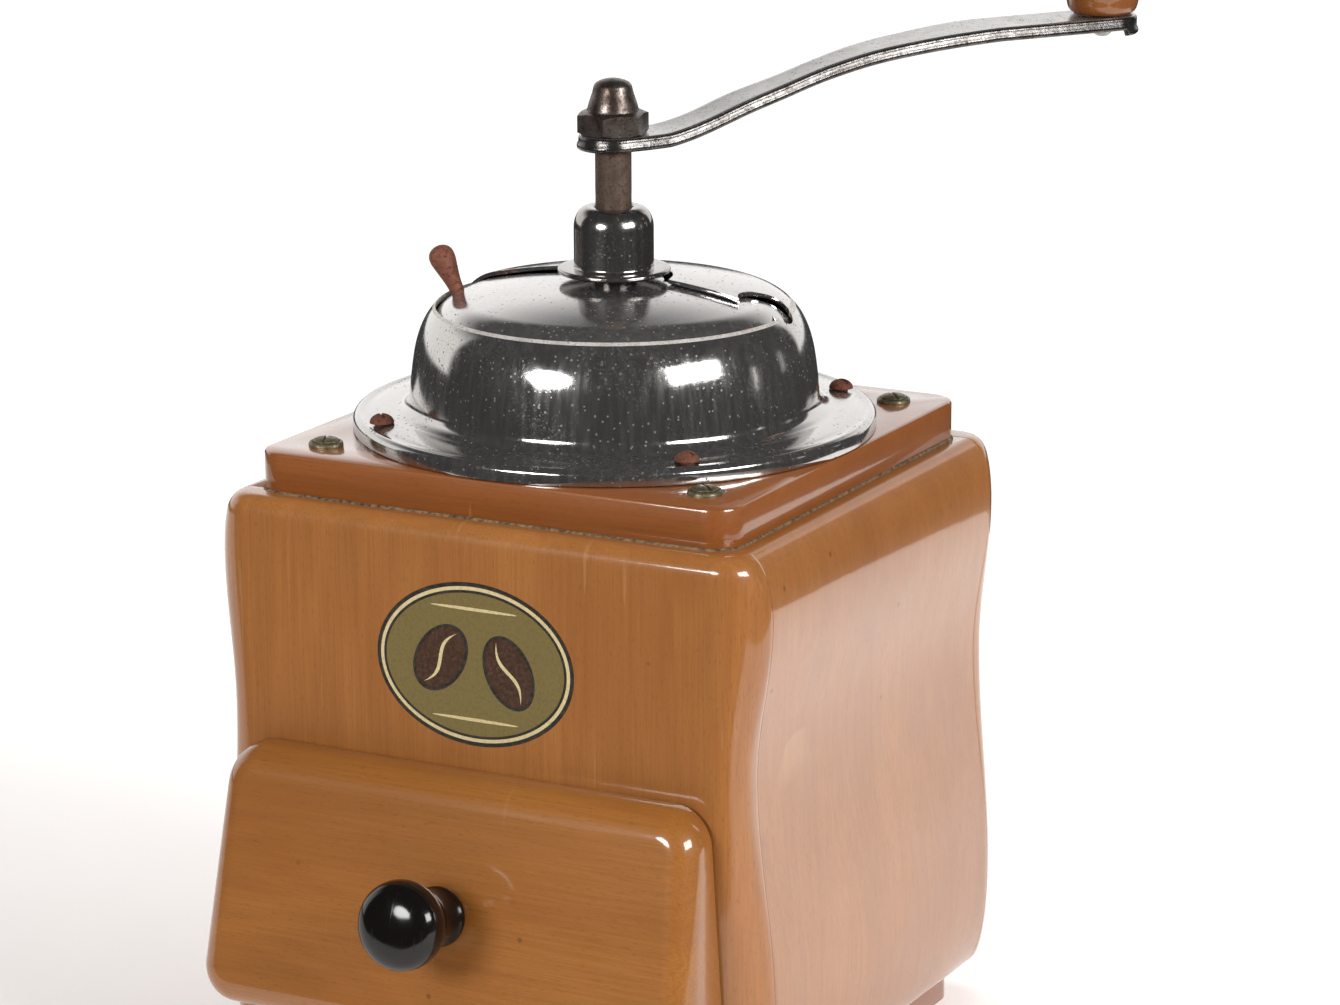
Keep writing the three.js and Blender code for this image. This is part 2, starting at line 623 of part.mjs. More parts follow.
function makeCrank() {
  const crank = new THREE.Group();
  crank.rotation.set(0, 0, crankAngle);
  const chamfer = 0.7;
  const shaft = turned([
    [0, shaftLow], [shaftRadius - chamfer, shaftLow], [shaftRadius, shaftLow + chamfer],
    [shaftRadius, shaftHigh - chamfer], [shaftRadius - chamfer, shaftHigh], [0, shaftHigh],
  ], 20);
  const flats = block(-6, 6, flatHalf, 6, flatsLow, 230).add(block(-6, 6, -6, -flatHalf, flatsLow, 230));
  addPiece('drive_shaft', shaft.subtract(flats), darkSteel, crank);
  makeCrankArm(crank);
  makeCapNut(crank);
  makeCrankKnob(crank);
  grinder.add(crank);
}

// ---- drawer ----
function drawerFaceAt(z) {
  return drawerFaceY - drawerFaceSlope * (knobHeight - z);
}

function drawerFrontBlank() {
  const middle = (drawerFrontLow + drawerFrontHigh) / 2;
  const halfHeight = (drawerFrontHigh - drawerFrontLow) / 2;
  const ringAt = (inset, depth) => {
    const radius = drawerFrontCorner - inset;
    return roundedRing(drawerFrontHalf - inset, halfHeight - inset, radius, 5).map(([x, up]) => {
      const z = middle + up;
      const narrowing = 1 - 0.05 * Math.max(0, (z - 40) / (drawerFrontHigh - 40));
      return [x * narrowing, depth(z), z];
    });
  };
  const rings = [ringAt(1, () => drawerFrontBack), ringAt(0, () => drawerFrontBack - 1)];
  arc(0, 0, drawerFrontRound, 0, 90, 4).forEach(([out, forward]) => {
    rings.push(ringAt(drawerFrontRound - out, (z) => drawerFaceAt(z) + drawerFrontRound - forward));
  });
  return loft(rings);
}

function makeDrawer() {
  const lean = Math.atan(drawerFaceSlope);
  const knobGroup = new THREE.Group();
  knobGroup.position.set(0, drawerFaceY, knobHeight);
  knobGroup.rotation.set(Math.PI / 2 - lean, 0, 0);
  knobGroup.updateMatrixWorld();
  const along = (radius, low, high) => carry(rod(0, 0, radius, low, high, 14), knobGroup.matrixWorld);
  const front = drawerFrontBlank().subtract(along(2.4, -40, 20)).subtract(along(5, -40, -10.5));
  addPiece('drawer_front', front, drawerBeech);
  const knob = [
    [0, 12], [2.4, 12], [2.4, 0.3], [6.2, 0.3], [6.5, 0.9], [6.5, 2], [6, 3], [5.9, 5], [6.2, 8], [7.6, 11],
    [9.2, 13.7], [9.7, 16.2], [9.2, 18.6], [7.2, 20.7], [4, 21.8], [0, 22.2],
  ];
  addPiece('drawer_knob', turned(knob, 28), blackPlastic, knobGroup);
  const screw = [[0, -13.6], [3, -13.2], [4, -12], [4, -10.9], [2, -10.9], [2, 10.8], [0, 11.4]];
  addPiece('drawer_knob_screw', turned(screw, 14), steel, knobGroup);
  grinder.add(knobGroup);

  const inner = drawerBoxHalf - drawerWall;
  const floorHalf = inner - glueLine;
  const wallBoard = (lowX, highX, start) => block(lowX, highX, start, drawerRear, drawerLow, drawerHigh);
  addPiece('drawer_side_left', wallBoard(-drawerBoxHalf, -inner, drawerFrontBack), rawBeech);
  addPiece('drawer_side_right', wallBoard(inner, drawerBoxHalf, drawerFrontBack), rawBeech);
  const backStart = drawerRear - drawerWall;
  addPiece('drawer_back', wallBoard(-floorHalf, floorHalf, backStart), rawBeech);
  const floorEnd = backStart - glueLine;
  const bottom = block(-floorHalf, floorHalf, drawerFrontBack, floorEnd, drawerBottomLow, drawerBottomHigh);
  addPiece('drawer_bottom', bottom, rawBeech);
}

makeBody();
makeInnerWoodwork();
makeFasteners();
makeHopper();
makeLid();
makeFunnel();
makeGrindingSet();
makeCrank();
makeDrawer();

export default grinder;
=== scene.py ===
import json
import math
import random

import bpy
from mathutils import Matrix, Vector


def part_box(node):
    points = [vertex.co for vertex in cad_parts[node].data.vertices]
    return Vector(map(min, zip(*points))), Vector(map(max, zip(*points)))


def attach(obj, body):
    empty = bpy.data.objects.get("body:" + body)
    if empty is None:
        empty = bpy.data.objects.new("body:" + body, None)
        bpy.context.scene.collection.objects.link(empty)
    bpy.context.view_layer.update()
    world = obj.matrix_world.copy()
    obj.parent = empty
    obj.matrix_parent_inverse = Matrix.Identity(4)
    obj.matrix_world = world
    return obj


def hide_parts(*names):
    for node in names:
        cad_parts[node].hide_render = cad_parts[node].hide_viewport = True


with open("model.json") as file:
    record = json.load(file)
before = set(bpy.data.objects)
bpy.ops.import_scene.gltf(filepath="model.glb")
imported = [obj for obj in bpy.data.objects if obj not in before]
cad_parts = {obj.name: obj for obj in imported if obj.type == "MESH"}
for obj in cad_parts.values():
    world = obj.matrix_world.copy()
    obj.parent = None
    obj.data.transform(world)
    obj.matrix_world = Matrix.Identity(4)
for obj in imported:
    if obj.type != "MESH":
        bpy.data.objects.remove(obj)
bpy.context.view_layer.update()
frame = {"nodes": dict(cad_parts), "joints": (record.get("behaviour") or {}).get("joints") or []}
mm = 0.001


# ---- where things are, read from the frame, in millimetres ----

def low(node):
    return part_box(node)[0] / mm


def high(node):
    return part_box(node)[1] / mm


def jointPlace(name):
    joint = next(j for j in frame["joints"] if j["name"] == name)
    return Vector(joint["pos_m"]) / mm


# ---- mesh tools: everything is drawn in millimetres ----

def makePiece(name, points, faces):
    mesh = bpy.data.meshes.new(name)
    mesh.from_pydata([Vector(p) * mm for p in points], [], faces)
    mesh.validate()
    piece = bpy.data.objects.new(name, mesh)
    bpy.context.scene.collection.objects.link(piece)
    return piece


def applyModifiers(piece):
    graph = bpy.context.evaluated_depsgraph_get()
    fresh = bpy.data.meshes.new_from_object(piece.evaluated_get(graph))
    piece.modifiers.clear()
    piece.data = fresh
    return piece


def boolean(piece, tool, operation="DIFFERENCE"):
    step = piece.modifiers.new("cut", "BOOLEAN")
    step.object = tool
    step.operation = operation
    step.solver = "EXACT"
    applyModifiers(piece)
    bpy.data.objects.remove(tool)
    return piece


def bevelEdges(piece, width, segments=2, angle=35):
    step = piece.modifiers.new("edge", "BEVEL")
    step.width = width * mm
    step.segments = segments
    step.limit_method = "ANGLE"
    step.angle_limit = math.radians(angle)
    step.use_clamp_overlap = True
    step.harden_normals = False
    return applyModifiers(piece)


def placePiece(piece, body, material, nodes=(), bevel=0, smooth=35):
    if bevel:
        bevelEdges(piece, bevel)
    piece.data.shade_smooth()
    piece.data.set_sharp_from_angle(angle=math.radians(smooth))
    if material:
        piece.data.materials.clear()
        piece.data.materials.append(material)
    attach(piece, body)
    if nodes:
        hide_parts(*nodes)
    return piece


def skin(rings, loop=False):  # equal rings, anticlockwise seen from where the stack leads
    count = len(rings[0])
    total = len(rings)
    faces = []
    for row in range(total if loop else total - 1):
        a, b = row * count, (row + 1) % total * count
        faces += [(a + j, a + (j + 1) % count, b + (j + 1) % count, b + j) for j in range(count)]
    if not loop:
        last = (total - 1) * count
        faces.append(tuple(reversed(range(count))))
        faces.append(tuple(range(last, last + count)))
    return [p for ring in rings for p in ring], faces


def turned(profile, steps=96, closed=False):  # (radius, height) pairs, going up on the outside
    points, rows = [], []
    for radius, z in profile:
        if radius < 1e-6:
            rows.append([len(points)] * steps)
            points.append((0, 0, z))
            continue
        rows.append(list(range(len(points), len(points) + steps)))
        for j in range(steps):
            angle = 2 * math.pi * j / steps
            points.append((radius * math.cos(angle), radius * math.sin(angle), z))
    pairs = list(zip(rows, rows[1:]))
    if closed:
        pairs.append((rows[-1], rows[0]))
    faces = []
    for below, above in pairs:
        for j in range(steps):
            k = (j + 1) % steps
            corners = list(dict.fromkeys((below[j], below[k], above[k], above[j])))
            if len(corners) > 2:
                faces.append(tuple(corners))
    return points, faces


def arc(centerX, centerY, radius, fromDegrees, toDegrees, steps):
    angles = [math.radians(fromDegrees + (toDegrees - fromDegrees) * i / steps) for i in range(steps + 1)]
    return [(centerX + radius * math.cos(a), centerY + radius * math.sin(a)) for a in angles]


def smoothLine(knots, steps):  # a Catmull-Rom curve through the knots
    line = []
    padded = [knots[0], *knots, knots[-1]]
    for i in range(1, len(padded) - 2):
        a, b, c, d = (Vector(p) for p in padded[i - 1:i + 3])
        for step in range(steps):
            t = step / steps
            line.append(tuple(0.5 * (2 * b + (c - a) * t + (2 * a - 5 * b + 4 * c - d) * t * t
                                     + (3 * b - a - 3 * c + d) * t ** 3)))
    return line + [tuple(knots[-1])]


def parallel(line, distance):  # the line's own offset, to its left
    moved = []
    for i, point in enumerate(line):
        before, after = Vector(line[max(i - 1, 0)]), Vector(line[min(i + 1, len(line) - 1)])
        along = (after - before).normalized()
        moved.append((point[0] - along.y * distance, point[1] + along.x * distance))
    return moved


def sheetProfile(outer, thickness):
    return list(outer) + parallel(outer, thickness)[::-1]


def roundedRing(halfX, halfY, radius, steps):
    ring = []
    for corner, (signX, signY) in enumerate(((1, 1), (-1, 1), (-1, -1), (1, -1))):
        start = corner * 90
        ring += arc(signX * (halfX - radius), signY * (halfY - radius), radius, start, start + 90, steps)
    return ring


def prism(name, outline, bottom, top):
    return makePiece(name, *skin([[(x, y, z) for x, y in outline] for z in (bottom, top)]))


def rod(name, x, y, radius, bottom, top, steps=48):
    return prism(name, arc(x, y, radius, 0, 360 - 360 / steps, steps - 1), bottom, top)


def turnMesh(piece, matrix):
    piece.data.transform(matrix)
    return piece


def moveTo(x, y, z=0):
    return Matrix.Translation(Vector((x, y, z)) * mm)


# ---- material tools ----

def srgb(code):
    parts = [int(code[i:i + 2], 16) / 255 for i in (1, 3, 5)]
    return tuple(p / 12.92 if p <= 0.04045 else ((p + 0.055) / 1.055) ** 2.4 for p in parts) + (1.0,)


def addNode(tree, kind, settings=None, out=0):
    # settings hold the node's own options, and its inputs as values or sockets
    made = tree.nodes.new("ShaderNode" + kind)
    for key, value in (settings or {}).items():
        if isinstance(key, str) and hasattr(made, key):
            setattr(made, key, value)
        elif isinstance(value, bpy.types.NodeSocket):
            tree.links.new(value, made.inputs[key])
        else:
            made.inputs[key].default_value = value
    return made.outputs[out]


def newMaterial(name):
    material = bpy.data.materials.new(name)
    material.use_nodes = True
    tree = material.node_tree
    return material, tree, tree.nodes["Principled BSDF"], addNode(tree, "TexCoord", {}, "Object")


def speckle(tree, place, size, span=None, turn=(0, 0, 0), **settings):
    # noise with cells of a size in millimetres, one or one per axis; with a span, a mask from 0 to 1
    cells = size if isinstance(size, tuple) else (size,) * 3
    scale = tuple(1 / (c * mm) for c in cells)
    mapped = addNode(tree, "Mapping", {"Scale": scale, "Rotation": turn, "Vector": place})
    options = {"Scale": 1.0, "Detail": 3.0, "Roughness": 0.55, **settings, "Vector": mapped}
    noise = addNode(tree, "TexNoise", options, "Fac")
    if span is None:
        return noise
    return addNode(tree, "MapRange", {"From Min": span[0], "From Max": span[1], "Value": noise})


def spots(tree, place, size, radius, keep):  # round spots, a share of their cell wide, only in some cells
    mapped = addNode(tree, "Mapping", {"Scale": (1 / (size * mm),) * 3, "Vector": place})
    cells = addNode(tree, "TexVoronoi", {"Scale": 1.0, "Vector": mapped}, "Distance")
    inside = addNode(tree, "MapRange", {"From Min": radius, "From Max": radius * 0.55, "Value": cells})
    chance = addNode(tree, "SeparateColor", {"Color": cells.node.outputs["Color"]})
    chosen = addNode(tree, "MapRange", {"From Min": keep, "From Max": keep + 0.02, "Value": chance})
    return both(tree, inside, chosen)


def both(tree, *masks):  # where all the masks are, a number weakens them
    total = masks[0]
    for mask in masks[1:]:
        total = addNode(tree, "Math", {"operation": "MULTIPLY", "use_clamp": True, 0: total, 1: mask})
    return total


def weighted(tree, total, *parts):  # adds masks to a value, each with its own share
    for mask, share in parts:
        options = {"operation": "MULTIPLY_ADD", "use_clamp": True, 0: mask, 1: share, 2: total}
        total = addNode(tree, "Math", options)
    return total


def layerTones(tree, shader, ground, *layers):  # lays tones over the ground, each by its mask and share
    tone = srgb(ground)
    for mask, share, code in layers:
        layer = {"data_type": "RGBA", 0: both(tree, mask, share), 6: tone, 7: srgb(code)}
        tone = addNode(tree, "Mix", layer, 2)
    tree.links.new(tone, shader.inputs["Base Color"])


def grainCells(axis, across, along):
    cells = [across] * 3
    cells["XYZ".index(axis)] = along
    return tuple(cells)


def setShader(tree, shader, values):  # inputs of the shader as values or sockets
    for key, value in values.items():
        if isinstance(value, bpy.types.NodeSocket):
            tree.links.new(value, shader.inputs[key])
        else:
            shader.inputs[key].default_value = value


# ---- woods ----

beech = {
    "streakWidth": 0.45, "streakLength": 26,  # growth lines, millimetres
    "fleckWidth": 0.32, "fleckLength": 2.0,  # the short brown rays of beech
    "cloudWidth": 26, "cloudLength": 90,
    "ringWidth": 17, "ringLength": 170,
    "rub": (1.6, 34, 34), "rubTurn": (0.5, 0.35, 0.6),  # faint rubbed lines
    "dentSpacing": 11, "rippleSize": 7,
    "lacquer": 1.0, "lacquerRoughness": 0.09,
}


def lacqueredBeech(name, axis, pale, deep, wear=1.0, roughness=0.36):
    # Planed beech under clear nitro lacquer: honey tone, fine streaks and ray flecks under a glossy skin
    material, tree, shader, place = newMaterial(name)
    cloudCells = grainCells(axis, beech["cloudWidth"], beech["cloudLength"])
    streakCells = grainCells(axis, beech["streakWidth"], beech["streakLength"])
    ringCells = grainCells(axis, beech["ringWidth"], beech["ringLength"])
    fleckCells = grainCells(axis, beech["fleckWidth"], beech["fleckLength"])
    cloud = speckle(tree, place, cloudCells, (0.1, 0.9), Detail=2.0)
    streak = speckle(tree, place, streakCells, Detail=4.0, Distortion=0.25)
    lines = addNode(tree, "MapRange", {"From Min": 0.4, "From Max": 0.62, "Value": streak})
    contour = speckle(tree, place, ringCells, Detail=1.0, Distortion=0.4)
    folded = addNode(tree, "Math", {"operation": "PINGPONG", 0: contour, 1: 0.05})
    rings = addNode(tree, "MapRange", {"From Max": 0.05, "Value": folded})
    fleck = speckle(tree, place, fleckCells, (0.6, 0.72), Detail=1.0)
    rub = speckle(tree, place, beech["rub"], (0.71, 0.735), beech["rubTurn"], Detail=1.0, Roughness=0.3)
    rub = both(tree, rub, speckle(tree, place, 30, (0.5, 0.62), Detail=1.0))
    dents = spots(tree, place, beech["dentSpacing"], 0.07, 0.72)
    layerTones(tree, shader, deep, (cloud, 1.0, pale), (lines, 0.42, deep), (rings, 0.12, "#5F3614"),
               (fleck, 0.24, "#4F2C13"), (rub, 0.12 * wear, "#C69E73"), (dents, 0.55 * wear, "#4A2A16"))
    sheen = speckle(tree, place, 9)
    rough = addNode(tree, "MapRange", {"To Min": roughness - 0.07, "To Max": roughness + 0.1, "Value": sheen})
    height = weighted(tree, 0.0, (streak, 0.5), (rub, 0.5), (dents, -0.9))
    wave = speckle(tree, place, beech["rippleSize"], Detail=1.0)  # the lacquer's own slow ripple
    setShader(tree, shader, {
        "Roughness": rough, "IOR": 1.5, "Specular IOR Level": 0.2,
        "Coat Weight": beech["lacquer"], "Coat Roughness": beech["lacquerRoughness"],
        "Normal": addNode(tree, "Bump", {"Strength": 0.22, "Distance": 0.00012, "Height": height}),
        "Coat Normal": addNode(tree, "Bump", {"Strength": 0.12, "Distance": 0.0003, "Height": wave}),
    })
    return material


def planedBeech(name, axis):
    # Bare planed beech inside the box: paler, dry and matt, coffee dust in the pores
    material, tree, shader, place = newMaterial(name)
    streak = speckle(tree, place, grainCells(axis, 0.8, 36), Detail=4.0)
    lines = addNode(tree, "MapRange", {"From Min": 0.35, "From Max": 0.7, "Value": streak})
    fleck = speckle(tree, place, grainCells(axis, 0.35, 2.2), (0.58, 0.7), Detail=1.0)
    dust = speckle(tree, place, 12, (0.45, 0.75), Detail=5.0)
    layerTones(tree, shader, "#D2AE7C", (lines, 1.0, "#B98E5B"), (fleck, 0.35, "#8A5D34"),
               (dust, 0.4, "#6F4B2C"))
    setShader(tree, shader, {
        "Roughness": 0.7,
        "Normal": addNode(tree, "Bump", {"Strength": 0.3, "Distance": 0.00015, "Height": streak}),
    })
    return material


# ---- metals ----

chromePlate = {
    "patchSize": 15, "pitSize": 0.5, "runs": (1.4, 1.4, 30), "freckleSize": 1.2, "rustSize": 20,  # millimetres
}


def pittedChrome(name, pitting, rust, tint, haze, blur):
    # Decorative chrome on pressed steel, decades old: a soft grey mirror under fine pin pits, dulled by a thin
    # film, with brown rust freckles
    material, tree, shader, place = newMaterial(name)
    patches = speckle(tree, place, chromePlate["patchSize"], (0.42, 0.68), Detail=4.0)
    pits = speckle(tree, place, chromePlate["pitSize"], (0.54, 0.66), Roughness=0.7)
    pits = both(tree, pits, patches, pitting)
    runs = speckle(tree, place, chromePlate["runs"], (0.4, 0.7))
    freckles = spots(tree, place, chromePlate["freckleSize"], 0.24, 0.55)
    freckles = both(tree, freckles, speckle(tree, place, chromePlate["rustSize"], (0.38, 0.56)), rust)
    layerTones(tree, shader, tint, (pits, 0.6, "#6F6A64"), (freckles, 1.0, "#3A2318"))
    cloud = speckle(tree, place, 6, Detail=5.0)
    rough = addNode(tree, "MapRange", {"To Min": blur[0], "To Max": blur[1], "Value": cloud})
    height = weighted(tree, 0.0, (pits, 1.0), (freckles, 1.0))
    bump = {"Strength": 0.1, "Distance": 0.00006, "invert": True, "Height": height}
    setShader(tree, shader, {
        "Roughness": weighted(tree, rough, (runs, 0.06), (pits, 0.2), (freckles, 0.5)),
        "Metallic": weighted(tree, 1 - 0.6 * haze, (runs, -0.4 * haze), (pits, -0.16), (freckles, -0.85)),
        "Normal": addNode(tree, "Bump", bump),
    })
    return material


def brownedSteel(name, bright, mid, dark, metallic=0.7, rough=(0.38, 0.75), grain=0.8):
    # Steel whose plating has gone: an even brown rust film with paler rubbed metal and darker grains
    material, tree, shader, place = newMaterial(name)
    film = speckle(tree, place, 3.2, (0.35, 0.7), Detail=6.0)
    grains = speckle(tree, place, grain, Detail=4.0, Roughness=0.7)
    darker = addNode(tree, "MapRange", {"From Min": 0.5, "From Max": 0.68, "Value": grains})
    layerTones(tree, shader, mid, (film, 1.0, bright), (darker, 1.0, dark))
    span = {"From Min": 0.3, "From Max": 0.7, "To Min": rough[0], "To Max": rough[1], "Value": grains}
    setShader(tree, shader, {
        "Roughness": addNode(tree, "MapRange", span), "Metallic": metallic,
        "Normal": addNode(tree, "Bump", {"Strength": 0.5, "Distance": 0.0001, "Height": grains}),
    })
    return material


def phenolicKnob(name):
    # Black pressed phenolic resin, polished: a soft mirror, a warm black, a few hairline scuffs and dust
    material, tree, shader, place = newMaterial(name)
    dust = speckle(tree, place, 0.8, (0.6, 0.8), Detail=5.0)
    layerTones(tree, shader, "#0D0A0A", (dust, 0.25, "#3A302A"))
    scuff = speckle(tree, place, (0.4, 6, 6), (0.6, 0.7), (0.4, 0.9, 0.2), Detail=2.0)
    setShader(tree, shader, {
        "Roughness": addNode(tree, "MapRange", {"To Min": 0.13, "To Max": 0.28, "Value": scuff}),
        "Specular IOR Level": 0.35, "Coat Weight": 0.1, "Coat Roughness": 0.1,
        "Normal": addNode(tree, "Bump", {"Strength": 0.05, "Distance": 0.0001, "Height": scuff}),
    })
    return material


def printInk(name, tone, worn, gold=0.0):
    # Water-slide transfer under lacquer: flat ink, slightly mottled
    material, tree, shader, place = newMaterial(name)
    mottle = speckle(tree, place, 0.7, (0.42, 0.72), Detail=5.0)
    layerTones(tree, shader, tone, (mottle, 0.6, worn))
    setShader(tree, shader, {
        "Roughness": addNode(tree, "MapRange", {"To Min": 0.3, "To Max": 0.5, "Value": mottle}),
        "Metallic": gold, "Coat Weight": 0.6, "Coat Roughness": 0.12,
    })
    return material


panelBeech = lacqueredBeech("lacquered beech panels", "Z", "#A36B37", "#835025")
boardBeech = lacqueredBeech("lacquered beech boards", "X", "#935729", "#743F18")
drawerBeech = lacqueredBeech("lacquered beech drawer front", "X", "#9C652E", "#7D4B1D")
gripBeech = lacqueredBeech("lacquered beech crank knob", "Z", "#8F5A2A", "#6C3A18", 0.6)
railBeech = planedBeech("planed beech rails", "Y")
postBeech = planedBeech("planed beech posts", "Z")
floorBeech = planedBeech("planed beech drawer floor", "X")
domeChrome = pittedChrome("pitted chrome hopper", 0.8, 1.0, "#B4B2AF", 0.06, (0.05, 0.13))
lidChrome = pittedChrome("pitted chrome lid", 0.4, 1.0, "#BDBBB9", 0.08, (0.07, 0.16))
crankChrome = pittedChrome("pitted chrome crank", 1.0, 1.0, "#A19F9D", 0.14, (0.14, 0.3))
# painted highlight: a pale steel for the mouth's rim, so the cut edge shows as a bright line; it is also the
# bare worn edge
edgeHighlightSteel = brownedSteel("worn cut edge with painted highlight", "#DAD6D0", "#C3BEB7", "#8E877F", 0.45, (0.35, 0.6), 0.5)
# painted shade: a dark steel for the crank's side faces, darker than the chrome on its top
skirtShadeSteel = brownedSteel("crank side with painted shade", "#6B6866", "#454240", "#2A2624", 0.9, (0.14, 0.32))
collarChrome = pittedChrome("worn chrome collar", 0.6, 0.5, "#9A9793", 0.05, (0.08, 0.18))
shaftSteel = brownedSteel("browned steel shaft", "#69564A", "#54443A", "#3A2C22", 0.6, (0.45, 0.75))
nutSteel = brownedSteel("worn plated nut", "#77706B", "#4A3D36", "#2C211C", 0.85, (0.2, 0.5))
rustSteel = brownedSteel("rusted screw steel", "#7A4C38", "#5F3526", "#3C2018", 0.35, (0.6, 0.9), 0.5)
knobRust = brownedSteel("rusted lid pin", "#84503A", "#6E4132", "#4D2A1E", 0.3, (0.55, 0.85))
dullBrass = brownedSteel("tarnished cup washer", "#857B62", "#5E563F", "#38321F", 0.7, (0.3, 0.6), 0.6)
turnedSteel = brownedSteel("turned steel", "#A9A8A6", "#8C8A88", "#6B6560", 0.95, (0.25, 0.5))
tinnedSheet = brownedSteel("tinned sheet", "#B4B4B2", "#9C9A97", "#7D766E", 0.95, (0.25, 0.5), 1.6)
castIron = brownedSteel("cast iron burrs", "#55565A", "#3F4043", "#2A2A2C", 0.7, (0.5, 0.8), 1.2)
knobBlack = phenolicKnob("polished black phenolic")
print("materials ready")


# ---- wooden box ----

box = {
    "lowerZ": 33, "lowerHalf": 67.4,
    "waistZ": 86, "waistHalf": 63.0,
    "upperZ": 120, "upperHalf": 66.6,
    "ledgeHalf": 60.5, "depthHalf": -low("front_panel").y,
    "bottomZ": low("front_panel").z, "topZ": high("front_panel").z,
    "topRound": 4.0, "bottomRound": 3.0,
    "seamY": -high("front_panel").y, "wallX": 54.0, "levels": 72, "glueLine": 0.05,
    "openingHalf": 49.5, "openingLow": 27.5, "openingHigh": 76.0,
    "boardHole": 39.2, "screwSink": 4.2,
}


def blendHalf(a, b, share):
    return a + (b - a) * (1 - math.cos(math.pi * share)) / 2


def quarter(share):
    return math.sqrt(max(0.0, 1 - share * share))


def boxHalfWidth(z):
    if z > box["upperZ"]:
        share = (z - box["upperZ"]) / (box["topZ"] - box["upperZ"])
        return box["ledgeHalf"] + (box["upperHalf"] - box["ledgeHalf"]) * quarter(share)
    if z > box["waistZ"]:
        share = (z - box["waistZ"]) / (box["upperZ"] - box["waistZ"])
        return blendHalf(box["waistHalf"], box["upperHalf"], share)
    if z > box["lowerZ"]:
        share = (z - box["lowerZ"]) / (box["waistZ"] - box["lowerZ"])
        return blendHalf(box["lowerHalf"], box["waistHalf"], share)
    share = (box["lowerZ"] - z) / (box["lowerZ"] - box["bottomZ"])
    return box["ledgeHalf"] + (box["lowerHalf"] - box["ledgeHalf"]) * quarter(share)


def boxHalfDepth(z):
    over = max(0.0, z - (box["topZ"] - box["topRound"])) / box["topRound"]
    under = max(0.0, box["bottomZ"] + box["bottomRound"] - z) / box["bottomRound"]
    return box["depthHalf"] - box["topRound"] * (1 - quarter(over)) - box["bottomRound"] * (1 - quarter(under))


def boxCorner(z):
    return max(6.0, 6.7 + 4.1 * (boxHalfWidth(z) - box["waistHalf"]) / (box["lowerHalf"] - box["waistHalf"]))


def boxSkinX(y, z):
    radius = boxCorner(z)
    past = max(0.0, abs(y) - (boxHalfDepth(z) - radius))
    return boxHalfWidth(z) - radius + math.sqrt(max(0.0, radius * radius - past * past))


def boxLevels():  # closer together where the section turns quickly
    bottom, top = box["bottomZ"], box["topZ"]
    count = box["levels"]
    return [bottom + (top - bottom) * (1 - math.cos(math.pi * i / count)) / 2 for i in range(count + 1)]


def cornerLine(z, steps=14):  # from the seam round to the flat of the front, for the +X +Y corner
    radius = boxCorner(z)
    centerX, centerY = boxHalfWidth(z) - radius, boxHalfDepth(z) - radius
    straight = max(0.0, centerY - box["seamY"])
    start = math.asin(min(1.0, max(0.0, (box["seamY"] - centerY) / radius)))
    total = straight + radius * (math.pi / 2 - start)
    line = []
    for i in range(steps + 1):
        s = total * i / steps
        if s < straight:
            line.append((centerX + radius, box["seamY"] + s))
        else:
            angle = start + (s - straight) / radius
            line.append((centerX + radius * math.cos(angle), centerY + radius * math.sin(angle)))
    return line


def endPanel(name, sign):  # front panel with sign -1, back panel with sign 1
    rings = []
    for z in boxLevels():
        corner = cornerLine(z)
        ring = corner + [(-x, y) for x, y in reversed(corner)]
        rings.append([(x * sign, y * sign, z) for x, y in ring])
    return makePiece(name, *skin(rings))


def sidePanel(name, sign):
    reach = box["seamY"] - box["glueLine"]
    near = [0.0, 0.15, 0.4, 0.8, 1.3, 2.0, 3.0, 6.0]
    ys = [-reach + n for n in near] + [-30, -15, 0, 15, 30] + [reach - n for n in reversed(near)]
    rings = []
    for z in boxLevels():
        ring = [(boxSkinX(y, z), y) for y in ys] + [(box["wallX"], reach), (box["wallX"], -reach)]
        rings.append([(x * sign, y * sign, z) for x, y in ring])
    return makePiece(name, *skin(rings))


def roundedBoard(name, node, corner=7.0):
    lowest, highest = low(node), high(node)
    ring = roundedRing(highest.x, highest.y, corner, 10)
    return prism(name, ring, lowest.z, highest.z)


def buildBox():
    front = endPanel("front_board", -1)
    half = box["openingHalf"]
    ring = [(-half, -80), (half, -80), (half, -40), (-half, -40)]
    boolean(front, prism("opening", ring, box["openingLow"], box["openingHigh"]))
    placePiece(front, "mill_body", panelBeech, ["front_panel"], 0.3)
    placePiece(endPanel("back_board", 1), "mill_body", panelBeech, ["back_panel"], 0.3)
    for side, sign in (("left", -1), ("right", 1)):
        board = sidePanel(f"{side}_side_board", sign)
        placePiece(board, "mill_body", panelBeech, [f"{side}_side_panel"], 0.3)
    top = roundedBoard("top_square_board", "top_board")
    boolean(top, rod("hole", 0, 0, box["boardHole"], 120, 160, 96))
    placePiece(top, "mill_body", boardBeech, ["top_board"], 0.7)
    base = roundedBoard("base_square_board", "base_board")
    for i in range(4):
        lowest, highest = low(f"base_screw_{i + 1}"), high(f"base_screw_{i + 1}")
        middle = (lowest + highest) / 2
        boolean(base, rod("sink", middle.x, middle.y, box["screwSink"], -2, 3.5))
    placePiece(base, "mill_body", boardBeech, ["base_board"], 0.7)


